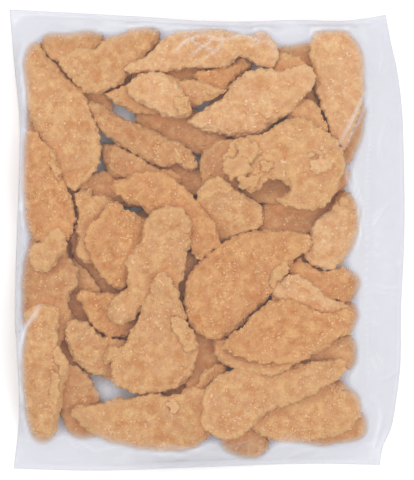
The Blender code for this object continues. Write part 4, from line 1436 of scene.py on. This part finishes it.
@dataclass
class FilmBag:
    """The clear film: two sheets, folded at the sides and welded at both ends."""

    columns: int = 156
    rows: int = 184
    top_seal: float = 5.5
    bottom_seal: float = 5.5
    rim_height: float = 3.0
    left_lift: float = 6.5
    top_lift: float = 6.5
    bottom_lift: float = 3.0
    rest_left: float = -139.0
    rest_right: float = 124.0
    rest_bottom: float = -168.0
    rest_top: float = 162.0
    rest_corner: float = 25.0
    weld_rows: int = 3
    rim_fullness: float = 0.7
    thickness: float = 0.4
    clearance: float = 0.5
    cell: float = 1.5
    drape_rounds: int = 700
    drape_haste: float = 1.9
    fade_rounds: int = 28
    touching: float = 0.98
    fade: float = 0.25
    tilt_rounds: int = 2
    crease_steps: int = 60
    crease_fullness: float = 0.6
    wrinkle_height: float = 0.32
    wrinkle_gap: float = 8.0
    held_share: float = 0.12
    lower_milkiness: float = 0.25

    def swing(self, pairs: tuple[tuple[float, float], ...], share: np.ndarray) -> np.ndarray:
        """Read a smooth curve through (share, distance) pairs at the given shares."""
        at = np.array([pair[0] for pair in pairs], dtype=float)
        value = np.array([pair[1] for pair in pairs], dtype=float)
        slope = np.gradient(value, at)
        index = np.clip(np.searchsorted(at, share, side="right") - 1, 0, len(at) - 2)
        span = at[index + 1] - at[index]
        t = (share - at[index]) / span
        leaving = value[index] * (1 + 2 * t) * (1 - t) ** 2 + span * slope[index] * t * (1 - t) ** 2
        arriving = value[index + 1] * t * t * (3 - 2 * t) - span * slope[index + 1] * t * t * (1 - t)
        return leaving + arriving

    def edge(self, ends: tuple[tuple[float, float], tuple[float, float]], outward: tuple[int, int],
             pairs: tuple[tuple[float, float], ...], share: np.ndarray) -> np.ndarray:
        """Points along one edge of the bag.

        Args:
            ends: The edge's two corners.
            outward: Which way is out of the bag.
            pairs: The edge's swing.
            share: Shares of the edge's length.

        Returns:
            Rows of x and y, in millimetres.
        """
        start = np.array(ends[0])
        straight = start + share[:, None] * (np.array(ends[1]) - start)
        return straight + self.swing(pairs, share)[:, None] * np.array(outward)

    def plan(self) -> np.ndarray:
        """Lay the grid of a sheet out flat between the four edges, centred on the origin.

        Returns:
            Rows by columns of x and y, in millimetres.
        """
        length = CORNER_TOP_LEFT[1] - CORNER_BOTTOM_LEFT[1]
        u = np.linspace(0.0, 1.0, self.columns + 1)
        weld = np.linspace(0.0, self.bottom_seal / length, self.weld_rows + 1)
        between = np.linspace(self.bottom_seal / length, 1 - self.top_seal / length,
                              self.rows + 1 - 2 * self.weld_rows)
        v = np.concatenate((weld[:-1], between, 1 - weld[-2::-1]))
        top = self.edge((CORNER_TOP_LEFT, CORNER_TOP_RIGHT), (0, 1), TOP_SWING, u)
        bottom = self.edge((CORNER_BOTTOM_LEFT, CORNER_BOTTOM_RIGHT), (0, -1), BOTTOM_SWING, u)
        left = self.edge((CORNER_TOP_LEFT, CORNER_BOTTOM_LEFT), (-1, 0), LEFT_SWING, 1.0 - v)
        right = self.edge((CORNER_TOP_RIGHT, CORNER_BOTTOM_RIGHT), (1, 0), RIGHT_SWING, 1.0 - v)
        across = u[None, :, None]
        up = v[:, None, None]
        ruled = ((1 - up) * bottom[None] + up * top[None]
                 + (1 - across) * left[:, None] + across * right[:, None])
        corners = ((1 - up) * ((1 - across) * bottom[0] + across * bottom[-1])
                   + up * ((1 - across) * top[0] + across * top[-1]))
        plan = ruled - corners
        low = plan.reshape(-1, 2).min(axis=0)
        high = plan.reshape(-1, 2).max(axis=0)
        return plan - (low + high) / 2

    def contents(self, pieces: list[bpy.types.Object], plan: np.ndarray) -> np.ndarray:
        """Height of the tenders under each point of the plan, 0 where there are none.

        Args:
            pieces: The tenders.
            plan: The sheet's grid.

        Returns:
            Heights in millimetres, rows by columns.
        """
        field_mm = HeightField(self.cell)
        for piece in pieces:
            points = read_points(piece) / MM
            field_mm.put(points[:, :2], points[:, 2])
        field_mm.grow(2)
        return field_mm.read(plan.reshape(-1, 2)).reshape(plan.shape[:2])

    def drape(self, floor: np.ndarray, held: np.ndarray, start: np.ndarray) -> np.ndarray:
        """Let a sheet hang over a floor, held where held is true.

        Args:
            floor: The height that the sheet can't go below.
            held: Where the sheet keeps its start height.
            start: Heights to start from.

        Returns:
            The sheet's heights in millimetres.
        """
        z = np.where(held, start, np.maximum(start, floor))
        rows, columns = np.indices(z.shape)
        inner = (rows > 0) & (rows < z.shape[0] - 1) & (columns > 0) & (columns < z.shape[1] - 1)
        free = inner & ~held
        turns = [free & ((rows + columns) % 2 == parity) for parity in (0, 1)]
        for _ in range(self.drape_rounds):
            for turn in turns:
                moved = z + self.drape_haste * (mean_beside(z) - z)
                z = np.where(turn, np.maximum(moved, floor), z)
        return z

    def rim(self) -> tuple[np.ndarray, np.ndarray]:
        """Height of the sheets' rim and welds, and where they are.

        Returns:
            Heights in millimetres, and true on the rim and the welded bands.
        """
        rows, columns = np.indices((self.rows + 1, self.columns + 1))
        low_weld = rows < self.weld_rows
        high_weld = rows > self.rows - self.weld_rows
        across = np.sin(np.pi * columns / self.columns) ** self.rim_fullness
        along = np.sin(np.pi * rows / self.rows) ** self.rim_fullness
        height = (self.rim_height + self.left_lift * along * (columns == 0)
                  + self.top_lift * across * high_weld + self.bottom_lift * across * low_weld)
        return height, low_weld | high_weld | (columns == 0) | (columns == self.columns)

    def creases(self, plan: np.ndarray) -> tuple[np.ndarray, np.ndarray]:
        """Find the folds of the upper sheet.

        Args:
            plan: The sheet's grid.

        Returns:
            The height that they add at each point, and how white they make it, partly as creased film and
            partly as a painted glint.
        """
        height = np.zeros(plan.shape[:2])
        whitening_and_glint = np.zeros(plan.shape[:2])
        for crease in CREASES:
            points = np.array(crease.points, dtype=float)
            steps = np.linspace(0, len(points) - 1, self.crease_steps)
            line = np.stack([np.interp(steps, np.arange(len(points)), points[:, i]) for i in (0, 1)], axis=1)
            gap = np.hypot(plan[..., None, 0] - line[:, 0], plan[..., None, 1] - line[:, 1])
            nearest = gap.min(axis=-1)
            share = gap.argmin(axis=-1) / (self.crease_steps - 1)
            ridge = np.exp(-(nearest / crease.width) ** 2) * np.sin(np.pi * share) ** self.crease_fullness
            height += crease.height * ridge
            whitening_and_glint = np.maximum(whitening_and_glint, crease.whitening_and_glint * ridge)
        return height, whitening_and_glint

    def wrinkles(self, plan: np.ndarray) -> np.ndarray:
        """Soft waves that run out from the contents into the loose film, in millimetres."""
        x = plan[..., 0]
        y = plan[..., 1]
        waves = np.sin(0.19 * y + 2.2 * np.sin(0.021 * y + 0.03 * x) + 0.05 * x)
        waves += 0.7 * np.sin(0.31 * y - 0.11 * x + 1.7 * np.sin(0.037 * x + 1.0))
        waves += 0.6 * np.sin(0.27 * x + 1.9 * np.sin(0.045 * y) + 0.6)
        return self.wrinkle_height * waves

    def lower_sheet(self, plan: np.ndarray) -> np.ndarray:
        """Drape the lower sheet from the rim down to the table.

        Args:
            plan: The sheet's grid.

        Returns:
            Its heights in millimetres.
        """
        middle, rim = self.rim()
        beyond_x = np.maximum(self.rest_left + self.rest_corner - plan[..., 0],
                              plan[..., 0] - self.rest_right + self.rest_corner)
        beyond_y = np.maximum(self.rest_bottom + self.rest_corner - plan[..., 1],
                              plan[..., 1] - self.rest_top + self.rest_corner)
        grounded = np.hypot(np.maximum(beyond_x, 0), np.maximum(beyond_y, 0)) <= self.rest_corner
        start = np.where(grounded, 0.0, np.where(rim, middle, self.rim_height))
        lower = self.drape(np.zeros_like(middle), rim | grounded, start)
        return np.maximum(lower - np.where(rim, self.thickness / 2, 0.0), 0.0)

    def upper_sheet(self, pieces: list[bpy.types.Object], plan: np.ndarray,
                    lower: np.ndarray) -> tuple[np.ndarray, np.ndarray, np.ndarray]:
        """Drape the upper sheet over the tenders, with its folds.

        Args:
            pieces: The tenders.
            plan: The sheets' grid.
            lower: The lower sheet's heights.

        Returns:
            Its heights in millimetres, how loose it hangs and how white its folds are, partly as creased
            film and partly as a painted glint.
        """
        over = self.contents(pieces, plan)
        middle, rim = self.rim()
        floor = np.maximum(np.where(over > 0, over + self.clearance, 0.0), lower + self.thickness)
        upper = self.drape(floor, rim, middle + self.thickness / 2)
        covered = blurred((over > 0).astype(float), self.fade_rounds)
        loose = np.clip((self.touching - covered) / self.fade, 0.0, 1.0)
        height, whitening_and_glint = self.creases(plan)
        free = np.clip((upper - over) / self.wrinkle_gap, self.held_share, 1.0)
        folds = height + self.wrinkles(plan) * free
        upper = np.where(rim, upper, np.maximum(upper + folds, floor))
        return upper, loose * self.tilted(upper), whitening_and_glint

    def tilted(self, height: np.ndarray) -> np.ndarray:
        """How much film is seen through where a sheet is tilted, 1 where it is steep.

        Args:
            height: The sheet's heights in millimetres.

        Returns:
            The share of the steepest film's milkiness at each point.
        """
        up_row = (CORNER_TOP_LEFT[1] - CORNER_BOTTOM_LEFT[1]) / self.rows
        up_column = (CORNER_TOP_RIGHT[0] - CORNER_TOP_LEFT[0]) / self.columns
        by_row, by_column = np.gradient(height, up_row, up_column)
        path = blurred(np.sqrt(1 + by_row ** 2 + by_column ** 2), self.tilt_rounds)
        return np.clip(FLAT_MILKINESS * path, 0.0, 1.0)

    def sheet(self, plan: np.ndarray, height: np.ndarray, loose: np.ndarray,
              whitening_and_glint: np.ndarray) -> bpy.types.Object:
        """Shape a grid into one sheet of film.

        Args:
            plan: The sheet's grid.
            height: Its heights in millimetres.
            loose: How far it is from the tenders, from 0 to 1.
            whitening_and_glint: How white its folds are, partly as creased film and partly as a painted
                glint, from 0 to 1.

        Returns:
            The sheet's object.
        """
        bpy.ops.object.select_all(action="DESELECT")
        bpy.ops.mesh.primitive_grid_add(x_subdivisions=self.columns, y_subdivisions=self.rows, size=2.0)
        piece = bpy.context.active_object
        flat = read_points(piece)
        column = np.rint((flat[:, 0] + 1) / 2 * self.columns).astype(int)
        row = np.rint((flat[:, 1] + 1) / 2 * self.rows).astype(int)
        points = np.column_stack((plan[row, column], height[row, column])) * MM
        write_points(piece, points)
        inner_row = self.weld_rows - 1
        weld = np.where((row < inner_row) | (row > self.rows - inner_row), 1.0, 0.0)
        write_mark(piece.data, "loose", loose[row, column])
        write_mark(piece.data, "weld", weld)
        write_mark(piece.data, "fold", whitening_and_glint[row, column])
        return piece

    def bed(self) -> Bed:
        """Read the lower sheet as the bed that the tenders lie on."""
        plan = self.plan()
        heights = HeightField(self.cell * 2)
        heights.put(plan.reshape(-1, 2), self.lower_sheet(plan).reshape(-1))
        heights.grow(1)
        return Bed(heights, self.clearance + self.thickness)

    def build(self, pieces: list[bpy.types.Object], film: bpy.types.Material) -> bpy.types.Object:
        """Make the closed bag round the tenders and dress it in clear film.

        Args:
            pieces: The tenders.
            film: The film's material.

        Returns:
            The bag's object.
        """
        plan = self.plan()
        lower = self.lower_sheet(plan)
        upper, loose, whitening_and_glint = self.upper_sheet(pieces, plan, lower)
        under = self.sheet(plan, lower, loose * self.lower_milkiness, np.zeros_like(whitening_and_glint))
        over = self.sheet(plan, upper, loose, whitening_and_glint)
        select_only(under)
        bpy.ops.object.mode_set(mode="EDIT")
        bpy.ops.mesh.select_all(action="SELECT")
        bpy.ops.mesh.flip_normals()
        bpy.ops.object.mode_set(mode="OBJECT")
        select_only(over)
        under.select_set(True)
        bpy.ops.object.join()
        bag = bpy.context.active_object
        bag.name = "bag_film"
        bag.data.name = bag.name
        bpy.ops.object.mode_set(mode="EDIT")
        bpy.ops.mesh.select_mode(type="EDGE")
        bpy.ops.mesh.select_all(action="DESELECT")
        bpy.ops.mesh.select_non_manifold(extend=False)
        bpy.ops.mesh.bridge_edge_loops()
        bpy.ops.object.mode_set(mode="OBJECT")
        bpy.ops.object.shade_smooth()
        bag.data.materials.append(film)
        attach(bag, "root")
        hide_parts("bag")
        LOG.info("closed the film bag, %d faces", len(bag.data.polygons))
        return bag


@dataclass
class Studio:
    """A white table, soft light and a camera straight above the bag."""

    lens: float = 300.0
    sensor: float = 36.0
    view_height: float = 0.384
    look_at: tuple[float, float, float] = (0.0, 0.0, 0.02)
    zenith: float = 1.38
    horizon: float = 0.52
    key_energy: float = 7.5
    fill_energy: float = 10.0
    strip_energy: float = 5.0

    def floor(self) -> None:
        """Lay a white table top under the bag."""
        bpy.ops.object.select_all(action="DESELECT")
        bpy.ops.mesh.primitive_plane_add(size=12.0, location=(0, 0, -0.4 * MM))
        table = bpy.context.active_object
        table.name = "table_top"
        white = bpy.data.materials.new("white_laminate")
        white.use_nodes = True
        tree = white.node_tree
        place = add(tree, "ShaderNodeTexCoord").outputs["Object"]
        cloud = add(tree, "ShaderNodeTexNoise", {"Vector": place, "Scale": 8.0, "Detail": 2.0})
        tone = ramp(add(tree, "ShaderNodeValToRGB", {"Fac": cloud.outputs["Fac"]}),
                    ((0.3, "#f8f8f8"), (0.7, "#fcfcfc")))
        shader = tree.nodes["Principled BSDF"]
        shader.inputs["Roughness"].default_value = 0.9
        shader.inputs["Specular IOR Level"].default_value = 0.1
        tree.links.new(tone.outputs["Color"], shader.inputs["Base Color"])
        table.data.materials.append(white)

    def lamp(self, name: str, place: tuple[float, float, float], size: tuple[float, float],
             energy: float) -> None:
        """Hang a soft light that faces the bag.

        Args:
            name: The light's name.
            place: Where it hangs, in metres.
            size: Its two sides, in metres, the first one level.
            energy: Its power, in watts.
        """
        bpy.ops.object.light_add(type="AREA", location=place)
        lamp = bpy.context.active_object
        lamp.name = name
        lamp.data.shape = "RECTANGLE"
        lamp.data.size = size[0]
        lamp.data.size_y = size[1]
        lamp.data.energy = energy
        aim = np.array(self.look_at) - np.array(place)
        flat = math.hypot(aim[0], aim[1])
        lamp.rotation_euler = (math.atan2(flat, -aim[2]), 0.0, math.atan2(aim[1], aim[0]) - math.pi / 2)

    def camera(self) -> None:
        """Point a long lens straight down at the bag."""
        distance = self.view_height * self.lens / self.sensor
        bpy.ops.object.camera_add(location=(self.look_at[0], self.look_at[1], self.look_at[2] + distance))
        camera = bpy.context.active_object
        camera.name = "camera_above"
        camera.data.sensor_width = self.sensor
        camera.data.lens = self.lens
        camera.data.clip_end = 20.0
        bpy.context.scene.camera = camera

    def room(self) -> None:
        """Surround the table with white, brightest overhead like a large soft box."""
        world = bpy.data.worlds.new("soft_room")
        world.use_nodes = True
        tree = world.node_tree
        way = add(tree, "ShaderNodeSeparateXYZ", {0: add(tree, "ShaderNodeTexCoord").outputs["Generated"]})
        upward = add(tree, "ShaderNodeClamp", {"Value": way.outputs["Z"]})
        squared = add(tree, "ShaderNodeMath", {0: upward.outputs["Result"], 1: 2.0}, operation="POWER")
        light = add(tree, "ShaderNodeMapRange", {"Value": squared.outputs["Value"], "To Min": self.horizon,
                                                 "To Max": self.zenith})
        sky = tree.nodes["Background"]
        sky.inputs["Color"].default_value = linear("#ffffff")
        tree.links.new(light.outputs["Result"], sky.inputs["Strength"])
        bpy.context.scene.world = world

    def build(self) -> None:
        """Set the table, the world, the lights and the camera."""
        self.floor()
        self.room()
        self.lamp("key_light", (-0.9, 1.1, 1.9), (0.9, 0.9), self.key_energy)
        self.lamp("fill_light", (1.2, -0.6, 1.6), (1.4, 1.4), self.fill_energy)
        self.lamp("strip_light_top", (0.1, 1.5, 1.7), (1.5, 0.14), self.strip_energy)
        self.lamp("strip_light_left", (-1.5, -0.1, 1.7), (1.5, 0.14), self.strip_energy)
        self.camera()
        bpy.context.scene.view_settings.view_transform = "Standard"
        LOG.info("set the table, four lights and the camera")


def corners(box: tuple[Any, Any]) -> list[list[float]]:
    """Turn a box's two corners into plain lists."""
    return [[float(value) for value in corner] for corner in box]


def main() -> None:
    """Build the tenders, the film and the studio."""
    logging.basicConfig(level=logging.INFO, format="%(name)s: %(message)s")
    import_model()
    heap = Heap()
    heap.build()
    bag = FilmBag()
    tenders = Tenders(heap, bag.bed())
    tenders.build({crust: breading.material() for crust, breading in CRUSTS.items()})
    crumbs = Crumbs().build(tenders.pieces, CRUMB_CRUST.material())
    bag.build([*tenders.pieces, crumbs], ClearFilm().material())
    Studio().build()


if __name__ == "__main__":
    main()
